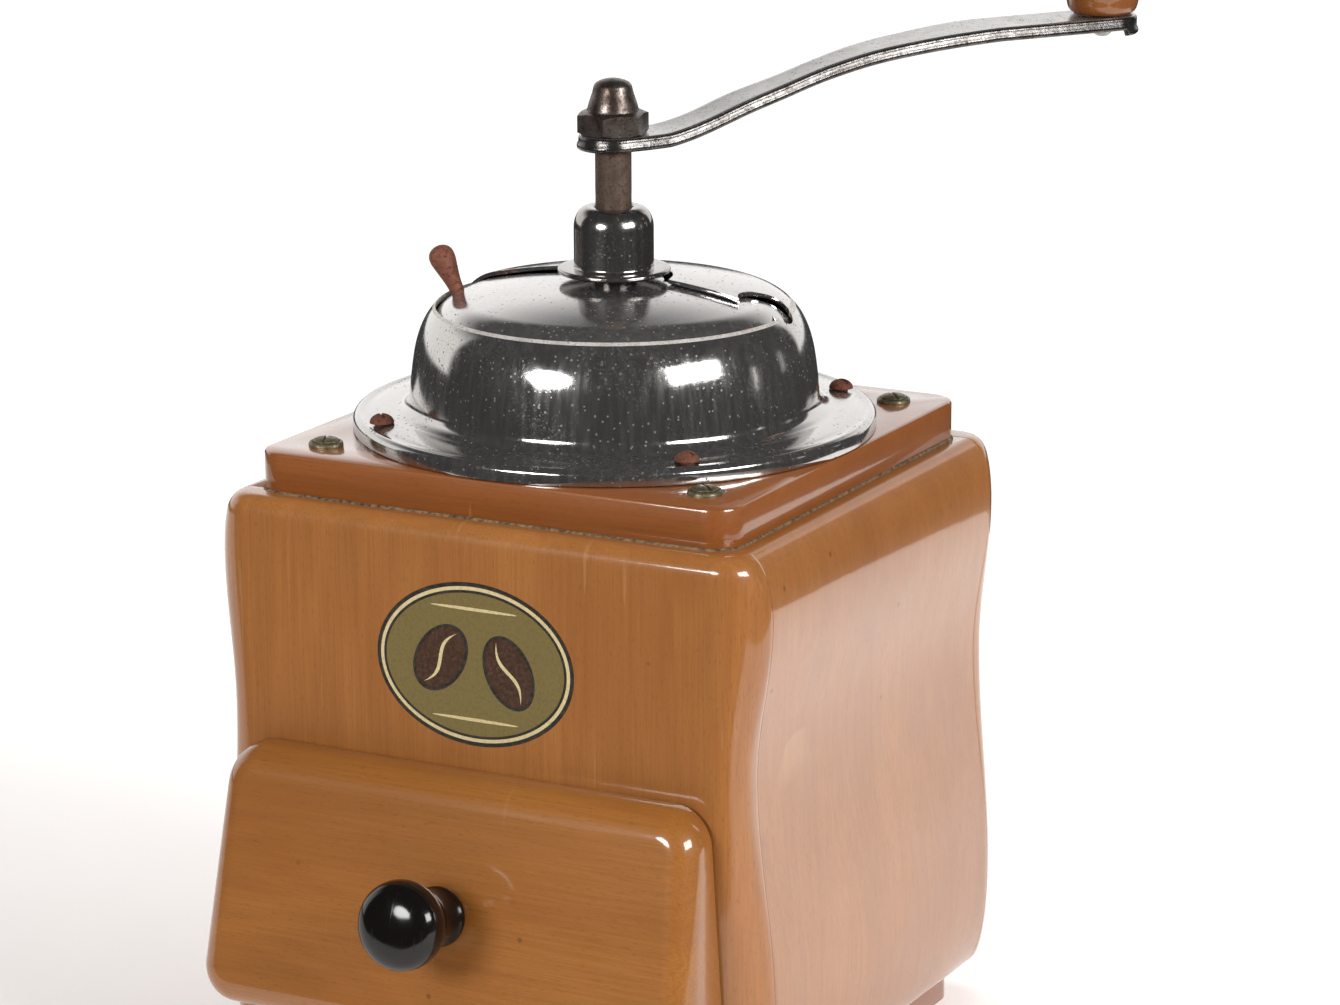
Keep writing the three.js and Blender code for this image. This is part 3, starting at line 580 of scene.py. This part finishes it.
def seamDustAndShade():
    # a thread in the corner between the top board and the body's ledge: its dark brown ground is painted shade
    # in the seam, its paler clumps are dust
    material, tree, shader, place = newMaterial("packed dust with painted seam shade")
    clumps = speckle(tree, place, 1.1, Detail=6.0)
    paler = addNode(tree, "MapRange", {"From Min": 0.35, "From Max": 0.7, "Value": clumps})
    # painted shade: the dark brown ground, broken by paler dust clumps
    layerTones(tree, shader, "#3B2A1C", (paler, 1.0, "#8A7154"))
    setShader(tree, shader, {
        "Roughness": 0.95,
        "Normal": addNode(tree, "Bump", {"Strength": 0.8, "Distance": 0.0003, "Height": clumps}),
    })
    random.seed(11)
    half, corner, z = high("top_board").x, 7.0, box["topZ"]
    rings = []
    for x, y in roundedRing(half, half, corner, 8):
        out = Vector((x, y)).normalized()
        reach = 0.35 + 0.3 * random.random()
        lift = 0.3 + 0.25 * random.random()
        section = [(-0.2, -0.1), (reach, 0.0), (reach * 0.5, lift * 0.55), (-0.02, lift), (-0.2, lift)]
        rings.append([(x + out.x * s, y + out.y * s, z + up) for s, up in section])
    piece = makePiece("ledge_dust_and_shade", *skin(rings, True))
    placePiece(piece, "mill_body", material, (), 0, 60)


buildBox()
seamDustAndShade()
print("box ready")


# ---- hopper ----

hopper = {
    "crown": 177.4, "fall": 0.0035, "sheet": 0.9, "radius": 45.3, "fillet": 3.3, "crownRadius": 33.0,
    "shoulder": (44.2, 160.0), "pulls": ((42.9, 167.3), (39.6, 172.3)),
    "mouth": 39.4, "hub": 13.0, "backLeft": 5.0, "backRight": 0.8,
    "parking": (34.5, 5.3, 6.0), "steps": 192,
}
lid = {"inset": 1.25, "sheet": 0.8, "start": 172, "end": 375, "hub": 11.0}
lidPin = {"radius": 36.9, "angle": 189.5, "height": 170.9, "lean": 25.5, "stem": 1.6}


def crownPoint(radius):
    return radius, hopper["crown"] - hopper["fall"] * radius * radius


def bezier(a, b, c, d, steps):
    line = []
    for i in range(steps + 1):
        t = i / steps
        weights = ((1 - t) ** 3, 3 * t * (1 - t) ** 2, 3 * t * t * (1 - t), t ** 3)
        line.append(tuple(sum(w * p[k] for w, p in zip(weights, (a, b, c, d))) for k in (0, 1)))
    return line


def shoulderAndCrown(hole):
    shoulder = bezier(hopper["shoulder"], *hopper["pulls"], crownPoint(hopper["crownRadius"]), 20)
    return shoulder + [crownPoint(r) for r in (29, 25, 21, 17, 13, 9, hole)]


def mouthOutline():
    mouth, hub = hopper["mouth"], hopper["hub"]
    left, right = hopper["backLeft"], hopper["backRight"]
    outer = arc(0, 0, mouth, 180 - math.degrees(math.asin(left / mouth)),
                360 + math.degrees(math.asin(right / mouth)), 90)
    inner = arc(0, 0, hub, math.degrees(math.asin(right / hub)), 180 - math.degrees(math.asin(left / hub)), 24)
    return outer + inner


def buildDome():
    rim = high("hopper_dome").x
    under = low("hopper_dome").z
    outer = [(rim, under), (rim, under + 1.3)] + arc(rim - 1.6, 145.4, 1.6, 0, 90, 8)[1:]
    outer += [(rim - 2.2, 146.75), (rim - 3.0, 146.7), (rim - 4.0, 146.9), (53.0, 147.1)]
    outer += arc(hopper["radius"] + hopper["fillet"], 150.6, hopper["fillet"], 270, 180, 12)
    outer += [(45.2, 152.2), (44.9, 155), (44.55, 157.8)] + shoulderAndCrown(5.7)
    dome = makePiece("pressed_dome", *turned(sheetProfile(outer, hopper["sheet"]), hopper["steps"], True))
    boolean(dome, prism("mouth", mouthOutline(), 165, 185))
    px, py, pr = hopper["parking"]
    boolean(dome, rod("parking", px, py, pr, 165, 185, 64))
    placePiece(dome, "mill_body", domeChrome, ["hopper_dome"], 0.3, 40)
    dome.data.materials.append(edgeHighlightSteel)  # the cut edge of the mouth is worn bare, and its pale steel is also a painted highlight along the rim
    # painted highlight: the faces along the mouth's rim take the pale edge steel and read as a bright line
    for face in dome.data.polygons:
        reach = math.hypot(face.center.x, face.center.y) / mm
        if abs(reach - hopper["mouth"]) < 0.36 and face.center.z > 0.1688:
            face.material_index = 1


def buildCollar():
    bottom, top = low("bearing_collar").z, high("bearing_collar").z
    outer = [(5.3, bottom), (5.3, 177.5), (11.9, 177.5)] + arc(11.9, 178.1, 0.6, -75, 90, 9)
    outer += [(10.4, 178.72), (9.05, 178.74), (8.84, 178.95), (8.8, 179.4)]
    outer += [(5.5 + 3.3 * x, 187.6 + (top - 187.6) * z) for x, z in arc(0, 0, 1, 0, 90, 14)]
    outer += [(4.6, top), (4.3, top - 0.3), (4.3, bottom)]
    placePiece(makePiece("turned_collar", *turned(outer, 128, True)), "mill_body", collarChrome,
               ["bearing_collar"], 0, 40)


def pinPlace():
    angle = math.radians(lidPin["angle"])
    place = moveTo(lidPin["radius"] * math.cos(angle), lidPin["radius"] * math.sin(angle), lidPin["height"])
    return place @ Matrix.Rotation(angle, 4, "Z") @ Matrix.Rotation(math.radians(lidPin["lean"]), 4, "Y")


def buildLid():
    outer = parallel(shoulderAndCrown(5.9), lid["inset"])[8:]
    sheet = makePiece("sector_lid", *turned(sheetProfile(outer, lid["sheet"]), hopper["steps"], True))
    sector = [(0, 0)] + arc(0, 0, 46, lid["start"], lid["end"], 120)
    keep = prism("keep", sector, 160, 185)
    boolean(keep, rod("hub", 0, 0, lid["hub"], 159, 186, 96), "UNION")
    boolean(sheet, keep, "INTERSECT")
    boolean(sheet, turnMesh(rod("pinHole", 0, 0, lidPin["stem"] + 0.15, -4, 4), pinPlace()))
    placePiece(sheet, "lid", lidChrome, ["hopper_lid"], 0.2, 40)


def buildLidPin():
    stem = lidPin["stem"]
    knots = [(stem, 0.2), (1.75, 1.9), (2.1, 3.8), (2.45, 5.4), (2.78, 6.9), (2.9, 8.1), (2.75, 9.1),
             (2.25, 10.0), (1.4, 10.6), (0.6, 10.86)]
    profile = [(0, -2.6), (2.1, -2.5), (2.4, -2.2), (2.4, -1.6), (stem, -1.6)]
    profile += smoothLine(knots, 4) + [(0, 10.9)]
    pin = turnMesh(makePiece("lid_pin", *turned(profile, 48)), pinPlace())
    placePiece(pin, "lid", knobRust, ["lid_knob"], 0, 50)


buildDome()
buildCollar()
buildLid()
buildLidPin()
print("hopper ready")


# ---- screws ----

def slotted(name, profile, slotWidth, slotDepth, angle, steps=40):
    piece = makePiece(name, *turned(profile, steps))
    top = profile[-1][1]
    half = slotWidth / 2
    boolean(piece, prism("slot", [(-9, -half), (9, -half), (9, half), (-9, half)], top - slotDepth, top + 3))
    return turnMesh(piece, Matrix.Rotation(math.radians(angle), 4, "Z"))


def roundHead(radius, seat, rise, stepDegrees):  # a quarter of an ellipse, from the rim up to the top
    angles = [math.radians(a) for a in range(0, 90, stepDegrees)]
    return [(radius * math.cos(a), seat + rise * math.sin(a)) for a in angles] + [(0, seat + rise)]


def buildScrews():
    boardTop = high("top_board").z
    random.seed(5)
    for i in range(4):
        middle = (low(f"corner_screw_{i + 1}") + high(f"corner_screw_{i + 1}")) / 2
        bottom = low(f"corner_screw_{i + 1}").z
        profile = [(0, bottom), (1, bottom), (1.9, bottom + 3), (1.9, boardTop + 0.2)]
        profile += roundHead(2.95, boardTop + 1.1, 0.8, 12)
        screw = slotted(f"wood_screw_{i + 1}", profile, 0.75, 0.75, random.uniform(0, 180))
        turnMesh(screw, moveTo(middle.x, middle.y))
        placePiece(screw, "mill_body", dullBrass, [f"corner_screw_{i + 1}"], 0.06, 50)
        cup = [(2.35, boardTop), (3.8, boardTop), (3.82, boardTop + 0.3), (3.7, boardTop + 0.75),
               (3.45, boardTop + 1.0), (3.15, boardTop + 1.05), (2.95, boardTop + 0.85)]
        washer = makePiece(f"raised_washer_{i + 1}", *turned(cup, 48, True))
        turnMesh(washer, moveTo(middle.x, middle.y))
        placePiece(washer, "mill_body", dullBrass, [f"cup_washer_{i + 1}"], 0, 50)

        middle = (low(f"mill_screw_{i + 1}") + high(f"mill_screw_{i + 1}")) / 2
        bottom, seat = low(f"mill_screw_{i + 1}").z, 147.4
        profile = [(0, bottom), (1.2, bottom), (1.6, bottom + 1), (1.6, seat)] + roundHead(2.7, seat, 2.02, 10)
        screw = slotted(f"flange_screw_{i + 1}", profile, 0.7, 0.7, random.uniform(0, 180))
        turnMesh(screw, moveTo(middle.x, middle.y))
        placePiece(screw, "mill_body", rustSteel, [f"mill_screw_{i + 1}"], 0.06, 50)


buildScrews()
print("screws ready")


# ---- crank ----

crank = {
    "length": math.hypot(*jointPlace("knob_spin").xy), "angle": math.atan2(*jointPlace("knob_spin").yx),
    "lowZ": 205.2, "height": 3.1, "sheet": 1.5, "shaftEnd": 8.0, "knobEnd": 8.3,
    "shaftLip": 204.9, "knobLip": 222.25,
    "rise": [(-10, 0), (8, 0), (13, 0.4), (20, 2.2), (30, 5.8), (40, 8.8), (50, 11.9), (60, 14.4), (70, 16),
             (85, 17.6), (100, 18.2), (130, 18.4)],
    "halfWidths": [(5, 7.6), (12, 6.7), (20, 6.2), (30, 6.2), (45, 5.4), (55, 5.9), (65, 6.6), (75, 7.2),
                   (85, 8.1), (92, 8.2)],
}
crank["riseLine"] = smoothLine(crank["rise"], 8)
crank["sideLine"] = smoothLine(crank["halfWidths"], 6)


def crankRise(u):
    line = crank["riseLine"]
    for (u0, z0), (u1, z1) in zip(line, line[1:]):
        if u <= u1:
            return z0 + (z1 - z0) * (u - u0) / (u1 - u0)
    return line[-1][1]


def crankOutline(inset):  # half of the plan: from the shaft end round the far end, then mirrored
    half = arc(0, 0, crank["shaftEnd"] - inset, 180, 90, 16)
    half += [(u, v - inset) for u, v in crank["sideLine"]]
    half += arc(crank["length"], 0, crank["knobEnd"] - inset, 85, 0, 18)
    return [(u, -v) for u, v in half] + half[-2:0:-1]


def trayFaces(count):  # closes a mirrored ring with strips across
    half = count // 2
    faces = [(0, 1, count - 1)]
    faces += [(i, i + 1, count - i - 1, count - i) for i in range(1, half - 1)]
    return faces + [(half - 1, half, half + 1)]


def crankEdge(u, v):  # the lower edge hangs a little lower round both ends
    shaftSide = math.degrees(abs(math.atan2(v, u)))
    knobSide = math.degrees(abs(math.atan2(v, u - crank["length"])))
    edge = crank["lowZ"] + crankRise(u)
    if u < 0 and shaftSide > 125:
        return min(edge, crank["shaftLip"] + 0.02 * (180 - shaftSide) / 55)
    if u > crank["length"] and knobSide < 72:
        return min(edge, crank["knobLip"])
    return edge


def buildCrankArm():
    height, sheet = crank["height"], crank["sheet"]
    recess, bead = 0.4, 1.75  # the skirt's edge is a rounded bead, the skirt above it stands back
    section = [(0.9, 0.0, 0), (0.4, 0.08, 0), (0.1, 0.35, 0), (0.0, 0.8, 0), (0.08, 1.25, 0), (recess, bead, 0)]
    top = height - 0.9
    section += [(recess, max(bead + 0.1, top), 1)]
    section += [(recess + 0.9 - 0.9 * math.cos(a), top + 0.9 * math.sin(a), 1)
                for a in (math.radians(d) for d in (25, 48, 70, 90))]
    section += [(recess + 1.9, height - 0.03, 1), (recess + 2.5, height - 0.05, 1)]
    split = len(section)
    section += [(sheet + 1.5, height - sheet, 1), (sheet + 0.3, height - sheet - 0.1, 1),
                (sheet, height - sheet - 0.4, 1), (sheet, 0.6, 0), (sheet - 0.2, 0.0, 0)]
    edge = crankOutline(0.0)
    rings = []
    for inset, lift, upper in section:
        ring = crankOutline(inset)
        rings.append([(u, v, (crank["lowZ"] + crankRise(u) if upper else crankEdge(*edge[k])) + lift)
                      for k, (u, v) in enumerate(ring)])
    count = len(rings[0])
    points = [p for ring in rings for p in ring]
    faces = []
    for row in list(range(split - 1)) + list(range(split, len(rings) - 1)):
        a, b = row * count, (row + 1) * count
        faces += [(a + j, a + (j + 1) % count, b + (j + 1) % count, b + j) for j in range(count)]
    last = (len(rings) - 1) * count
    faces += [(last + j, last + (j + 1) % count, (j + 1) % count, j) for j in range(count)]
    top, ceiling = (split - 1) * count, split * count
    faces += [tuple(top + i for i in face) for face in trayFaces(count)]
    faces += [tuple(ceiling + i for i in reversed(face)) for face in trayFaces(count)]
    arm = makePiece("stamped_crank", points, faces)
    boolean(arm, rod("eye", 0, 0, 4.25, 200, 215))
    boolean(arm, rod("pinHole", crank["length"], 0, 2.5, 215, 235))
    turnMesh(arm, Matrix.Rotation(crank["angle"], 4, "Z"))
    placePiece(arm, "crank_set", crankChrome, ["crank_arm"], 0, 40)
    # painted shade: faces that do not face up take the darker steel, the top keeps the chrome
    arm.data.materials.append(skirtShadeSteel)
    for face in arm.data.polygons:
        face.material_index = 0 if face.normal.z > 0.75 else 1


def buildCapNut():
    seat, top = low("cap_nut").z, high("cap_nut").z
    corner = 7.0 / math.cos(math.pi / 6)
    hexagon = prism("domed_nut", arc(0, 0, corner, 0, 300, 5), seat, seat + 5)
    rises = [(0, -1), (7.2, -1), (7.2, 0), (8.1, 0.5), (8.1, 4.1), (6.2, 5), (6.2, 6), (0, 6)]
    chamfer = [(radius, seat + rise) for radius, rise in rises]
    boolean(hexagon, makePiece("chamfer", *turned(chamfer, 96)), "INTERSECT")
    rises = [(5.75, 4.9), (5.6, 5.4), (5.3, 6.6), (4.9, 7.8), (4.5, 9), (4.22, 10.2), (4.0, 10.7), (3.6, 11.1),
             (2.65, 11.6), (1.3, 11.95), (0.5, 12.05)]
    knots = [(radius, seat + rise) for radius, rise in rises]
    profile = [(0, seat + 1), (5.6, seat + 1), (5.75, seat + 4.4)] + smoothLine(knots, 4) + [(0, top)]
    boolean(hexagon, makePiece("cap", *turned(profile, 72)), "UNION")
    boolean(hexagon, rod("thread", 0, 0, 4.3, seat - 1, 215.2))
    turnMesh(hexagon, Matrix.Rotation(crank["angle"] - math.radians(8.6), 4, "Z"))
    placePiece(hexagon, "crank_set", nutSteel, ["cap_nut"], 0.18, 32)


def buildShaft():
    bottom, top = low("drive_shaft").z, high("drive_shaft").z
    profile = [(0, bottom), (3.3, bottom), (4.0, bottom + 0.7), (4.0, 192.8), (3.96, 194), (4.0, 196),
               (4.0, 206.6), (4.0, top - 0.7), (3.3, top), (0, top)]
    piece = makePiece("turned_shaft", *turned(profile, 64))
    for sign in (-1, 1):
        near, far = sorted((sign * 3.2, sign * 9))
        boolean(piece, prism("flat", [(-9, near), (9, near), (9, far), (-9, far)], 206.6, 230))
    turnMesh(piece, Matrix.Rotation(crank["angle"], 4, "Z"))
    placePiece(piece, "crank_set", shaftSteel, ["drive_shaft"], 0, 40)


def buildGrip():
    tip = jointPlace("knob_spin")
    bottom, recess = low("crank_knob").z, 258.8
    rises = [(6.6, 0), (7.5, 0.8), (8, 2), (8.5, 4.2), (10.2, 9), (12.3, 14.5), (13.25, 20.5), (12.1, 28),
             (8.6, 33.6), (5.6, 35.6)]
    outline = smoothLine([(radius, bottom + rise) for radius, rise in rises], 6)
    profile = [(2.5, bottom)] + outline
    profile += [(5.0, bottom + 35.6), (4.7, bottom + 35.35), (4.7, recess), (2.5, recess)]
    grip = makePiece("turned_grip", *turned(profile, 96, True))
    turnMesh(grip, moveTo(tip.x, tip.y))
    placePiece(grip, "crank_grip", gripBeech, ["crank_knob"], 0, 40)
    lowest, highest, seat = low("knob_pin").z, high("knob_pin").z, recess + 0.3
    head = roundHead(4.2, seat + 0.2, highest - seat - 0.2, 10)
    rivet = smoothLine([(0.3, lowest), (1.2, lowest + 0.2), (2.1, lowest + 0.9), (2.6, lowest + 1.9)], 5)
    pinProfile = [(0, lowest)] + rivet + [(2.6, lowest + 3.6), (2.2, lowest + 3.6), (2.2, seat), (4.1, seat)]
    pin = makePiece("grip_pin", *turned(pinProfile + head, 48))
    turnMesh(pin, moveTo(tip.x, tip.y))
    placePiece(pin, "crank_set", turnedSteel, ["knob_pin"], 0, 40)


buildCrankArm()
buildCapNut()
buildShaft()
buildGrip()
print("crank ready")


# ---- drawer ----

drawer = {
    "half": 60.0, "corner": 8.5, "round": 6.0, "faceY": -79.3, "slope": 0.19, "knobZ": 53.0,
    "narrow": 0.05, "narrowFrom": 40.0,
}


def drawerFaceY(z):
    return drawer["faceY"] - drawer["slope"] * (drawer["knobZ"] - z)


def buildDrawerFront():
    bottom, top = low("drawer_front").z, high("drawer_front").z
    back = high("drawer_front").y
    middle, halfHeight = (bottom + top) / 2, (top - bottom) / 2

    def ringAt(inset, depth):
        ring = []
        for x, up in roundedRing(drawer["half"] - inset, halfHeight - inset, drawer["corner"] - inset, 12):
            z = middle + up
            share = max(0.0, (z - drawer["narrowFrom"]) / (top - drawer["narrowFrom"]))
            narrowing = 1 - drawer["narrow"] * share
            ring.append((x * narrowing, depth(z), z))
        return ring

    rings = [ringAt(1 - step, lambda z, s=step: back - 1 + quarter(s)) for step in (0, 0.4, 0.75, 1)]
    radius = drawer["round"]
    for i in range(13):
        angle = math.radians(90 * i / 12)
        inset = radius * (1 - math.cos(angle))
        rings.append(ringAt(inset, lambda z, a=angle: drawerFaceY(z) + radius * (1 - math.sin(a))))
    front = makePiece("drawer_pillow", *skin(rings))
    lean = math.atan(drawer["slope"])
    frameTurn = moveTo(0, drawer["faceY"], drawer["knobZ"]) @ Matrix.Rotation(math.pi / 2 - lean, 4, "X")
    for radius2, start, end in ((2.4, -40, 20), (5.0, -40, -10.5)):
        boolean(front, turnMesh(rod("bore", 0, 0, radius2, start, end), frameTurn))
    placePiece(front, "drawer", drawerBeech, ["drawer_front"], 0, 40)
    return frameTurn


def buildDrawerKnob(frameTurn):
    knots = [(6.2, 0.3), (6.5, 0.8), (6.5, 1.7), (6.15, 2.6), (5.9, 4.2), (5.95, 6.4), (6.4, 8.6), (7.6, 11.0),
             (8.9, 13.0), (9.55, 14.8), (9.65, 16.4), (9.3, 18.2), (8.2, 19.85), (6.2, 21.1), (3.4, 21.85),
             (1.2, 22.1)]
    profile = [(0, 12), (2.4, 12), (2.4, 0.3)] + smoothLine(knots, 5) + [(0, 22.1)]
    knob = turnMesh(makePiece("moulded_knob", *turned(profile, 96)), frameTurn)
    placePiece(knob, "drawer", knobBlack, ["drawer_knob"], 0, 50)


def buildDrawerBox():
    boards = {"drawer_side_left": railBeech, "drawer_side_right": railBeech, "drawer_back": floorBeech,
              "drawer_bottom": floorBeech}
    for node, material in boards.items():
        a, b = low(node), high(node)
        ring = [(a.x, a.y), (b.x, a.y), (b.x, b.y), (a.x, b.y)]
        board = prism(node.replace("drawer_", "drawer_board_"), ring, a.z, b.z)
        placePiece(board, "drawer", material, [node], 0.4)


buildDrawerKnob(buildDrawerFront())
buildDrawerBox()
print("drawer ready")


# ---- front transfer: a plain oval with two coffee beans ----

badge = {"x": 0.5, "z": 104.5, "halfWidth": 24.0, "halfHeight": 18.0, "film": 0.04}


def buildBadge():
    inks = [printInk("transfer dark outline", "#23201A", "#3C352A"),
            printInk("transfer cream line", "#C7B689", "#9C8A5D"),
            printInk("transfer olive gold", "#7B6B3E", "#5E5130", 0.25),
            printInk("transfer bean brown", "#3A2416", "#523622")]
    points, faces, slots = [], [], []

    def addShape(outline, layer, ink):
        front = -box["depthHalf"] - badge["film"] * (layer + 1)
        start, count = len(points), len(outline)
        points.extend((x, front, z) for x, z in outline)
        points.extend((x, front + badge["film"] * 0.8, z) for x, z in outline)
        faces.append(tuple(range(start, start + count)))
        faces.append(tuple(reversed(range(start + count, start + 2 * count))))
        slots.extend([ink, ink])
        for j in range(count):
            k = (j + 1) % count
            faces.append((start + j, start + count + j, start + count + k, start + k))
            slots.append(ink)

    def turnedPoint(x, z, u, v, turn):
        return x + u * math.cos(turn) - v * math.sin(turn), z + u * math.sin(turn) + v * math.cos(turn)

    def oval(x, z, a, b, turn=0.0, steps=96):
        angles = [2 * math.pi * i / steps for i in range(steps)]
        return [turnedPoint(x, z, a * math.cos(angle), b * math.sin(angle), turn) for angle in angles]

    x, z, a, b = badge["x"], badge["z"], badge["halfWidth"], badge["halfHeight"]
    for layer, (inset, ink) in enumerate(((0, 0), (0.9, 1), (1.7, 0), (2.3, 2))):
        addShape(oval(x, z, a - inset, b - inset), layer, ink)
    for beanX, beanZ, turn in ((-8.3, 0.6, 0.95), (8.3, -0.8, -1.15)):
        addShape(oval(x + beanX, z + beanZ, 8.4, 5.8, turn), 4, 0)
        addShape(oval(x + beanX, z + beanZ, 7.7, 5.1, turn), 5, 3)
        crease = []
        for side in (1, -1):
            for i in range(25):
                t = -1 + 2 * i / 24
                t *= side
                u = 7.1 * t
                v = 1.1 * math.sin(math.pi * t) + side * 0.45 * (1 - t * t)
                crease.append(turnedPoint(x + beanX, z + beanZ, u, v, turn))
        addShape(crease[::-1], 6, 1)
    for height, width in ((12.2, 10.5), (-12.2, 10.5)):
        addShape(oval(x, z + height, width, 0.35), 4, 1)
    piece = makePiece("front_transfer", points, faces)
    for ink in inks:
        piece.data.materials.append(ink)
    piece.data.polygons.foreach_set("material_index", slots)
    placePiece(piece, "mill_body", None)


buildBadge()
print("transfer ready")


# ---- CAD pieces that show as they are, in their own finish ----

def finishNode(node, material):
    piece = frame["nodes"][node]
    piece.data.materials.clear()
    piece.data.materials.append(material)
    step = piece.modifiers.new("edge", "BEVEL")
    step.width = 0.15 * mm
    step.segments = 1
    step.limit_method = "ANGLE"
    step.angle_limit = math.radians(40)


keptNodes = {
    postBeech: [f"corner_block_{i}" for i in range(1, 5)],
    railBeech: ["drawer_runner_left", "drawer_runner_right"],
    turnedSteel: ["bush_nut", "lid_spring_washer", "bridge_screw_1", "bridge_screw_2", "detent_spring",
                  "thrust_pad", "drawer_knob_screw", *[f"mill_nut_{i}" for i in range(1, 5)],
                  *[f"base_screw_{i}" for i in range(1, 5)]],
    tinnedSheet: ["hopper_funnel"],
    castIron: ["burr_housing", "outer_burr", "inner_burr", "lower_bridge"],
    dullBrass: ["adjusting_screw"],
}
for material, names in keptNodes.items():
    for node in names:
        finishNode(node, material)
print("inner pieces finished")


# ---- studio ----

studio = {
    "eye": (472.0, -871.1, 384.7), "azimuth": 27.75, "pitch": -14.69, "roll": -0.21, "lens": 123.58,
    "keyPlace": (-0.159, -0.932, 0.324), "keyDistance": 1.2, "keySize": (0.50, 0.29), "keyPower": 8.2,
    "sidePlace": (0.893, -0.231, 0.386), "sideDistance": 1.2, "sideSize": (0.60, 0.32), "sidePower": 12.0,
    "topPlace": (-0.1, 0.15, 1.0), "topDistance": 1.4, "topSize": (0.8, 0.8), "topPower": 7.0,
    "floorFront": -230.0, "floorBack": 440.0, "floorLeft": -900.0, "floorRight": 400.0,
    "fill": 0.42, "backdrop": 1.12, "white": 1.35, "gloom": 0.03,
}


def buildCamera():
    lens = bpy.data.cameras.new("camera")
    lens.sensor_width = 36
    lens.lens = studio["lens"]
    lens.clip_end = 30
    camera = bpy.data.objects.new("camera", lens)
    bpy.context.scene.collection.objects.link(camera)
    turn = Matrix.Rotation(math.radians(studio["azimuth"]), 4, "Z")
    turn = turn @ Matrix.Rotation(math.radians(90 + studio["pitch"]), 4, "X")
    turn = turn @ Matrix.Rotation(math.radians(studio["roll"]), 4, "Z")
    camera.matrix_world = moveTo(*studio["eye"]) @ turn
    bpy.context.scene.camera = camera


def softbox(name, shape, direction, distance, size, power, target):
    light = bpy.data.lights.new(name, "AREA")
    light.energy = power
    light.shape = shape
    light.size, light.size_y = size
    lamp = bpy.data.objects.new(name, light)
    bpy.context.scene.collection.objects.link(lamp)
    lamp.location = target + Vector(direction).normalized() * distance
    lamp.rotation_euler = (target - lamp.location).to_track_quat("-Z", "Y").to_euler()


def buildFloor():
    near, far, left, right = (studio["floor" + side] for side in ("Front", "Back", "Left", "Right"))
    corners = [(left, near, 0), (right, near, 0), (right, far, 0), (left, far, 0)]
    floor = makePiece("floor", corners, [(0, 1, 2, 3)])
    material, tree, shader, place = newMaterial("matt white paper sweep")
    layerTones(tree, shader, "#F1EDEB", (speckle(tree, place, 40, Detail=4.0), 1.0, "#F6F3F1"))
    # painted light: an emission on the floor that grows towards the back and towards the right
    away = addNode(tree, "SeparateXYZ", {"Vector": place}, "Y")
    across = away.node.outputs["X"]
    back = addNode(tree, "MapRange", {"From Min": -0.05, "From Max": 0.2, "To Max": 0.4, "Value": away})
    right = addNode(tree, "MapRange", {"From Min": -0.1, "From Max": 0.15, "To Max": 0.22, "Value": across})
    setShader(tree, shader, {
        "Roughness": 0.85, "Emission Color": srgb("#FFFBF8"),  # painted light: the paper glows, more towards the back and the right, so the far paper burns out to white
        "Emission Strength": weighted(tree, back, (right, 1.0)),
    })
    floor.data.materials.append(material)


def buildWorld():
    # What the chrome mirrors: a white backdrop behind, a narrow bright slit on the right, a dark room
    world = bpy.data.worlds.new("studio")
    bpy.context.scene.world = world
    world.use_nodes = True
    tree = world.node_tree
    direction = addNode(tree, "TexCoord", {}, "Generated")
    up = addNode(tree, "SeparateXYZ", {"Vector": direction}, "Z")
    sides = {0: up.node.outputs["Y"], 1: up.node.outputs["X"]}
    around = addNode(tree, "Math", {"operation": "ARCTAN2", **sides})

    def sector(start, end, soft, top, fadeTop):  # lit between two azimuths in degrees, up to a height
        edges = ((around, math.radians(start - soft), math.radians(start + soft)),
                 (around, math.radians(end + soft), math.radians(end - soft)),
                 (up, fadeTop, top))
        return both(tree, *[addNode(tree, "MapRange", {"From Min": low, "From Max": high, "Value": value})
                            for value, low, high in edges])

    backdrop = sector(72, 400, 1.5, 0.38, 0.62)
    wrapped = sector(-400, -170.5, 1.5, 0.38, 0.62)
    slit = sector(24, 27, 0.6, 0.16, 0.2)
    faintSlit = sector(48, 52, 1.0, 0.16, 0.2)
    bright = weighted(tree, backdrop, (wrapped, 1.0), (slit, 1.0), (faintSlit, 0.4))
    above = addNode(tree, "MapRange", {"From Min": -0.03, "From Max": 0.0, "Value": up})
    bright = both(tree, bright, above)
    gloom = (studio["gloom"],) * 3 + (1,)
    mirrored = addNode(tree, "Mix", {"data_type": "RGBA", 0: bright, 6: gloom, 7: (1.0, 0.985, 0.975, 1)}, 2)
    glossy = addNode(tree, "LightPath", {}, "Is Glossy Ray")
    seen = glossy.node.outputs["Is Camera Ray"]
    plain = (1.0, 0.985, 0.97, 1)
    tone = addNode(tree, "Mix", {"data_type": "RGBA", 0: glossy, 6: plain, 7: mirrored}, 2)
    level = addNode(tree, "MapRange", {"To Min": studio["fill"], "To Max": studio["backdrop"], "Value": seen})
    level = addNode(tree, "MapRange", {"To Min": level, "To Max": studio["white"], "Value": glossy})
    setShader(tree, tree.nodes["Background"], {"Color": tone, "Strength": level})


buildCamera()
buildFloor()
buildWorld()
middle = Vector((0, 0, 0.11))
for name, shape in (("key", "ELLIPSE"), ("side", "RECTANGLE"), ("top", "RECTANGLE")):
    place, distance, size, power = (studio[name + part] for part in ("Place", "Distance", "Size", "Power"))
    softbox(name + " softbox", shape, place, distance, size, power, middle)
bpy.data.objects["top softbox"].visible_glossy = False
bpy.context.scene.view_settings.view_transform = "Standard"
print("studio ready")
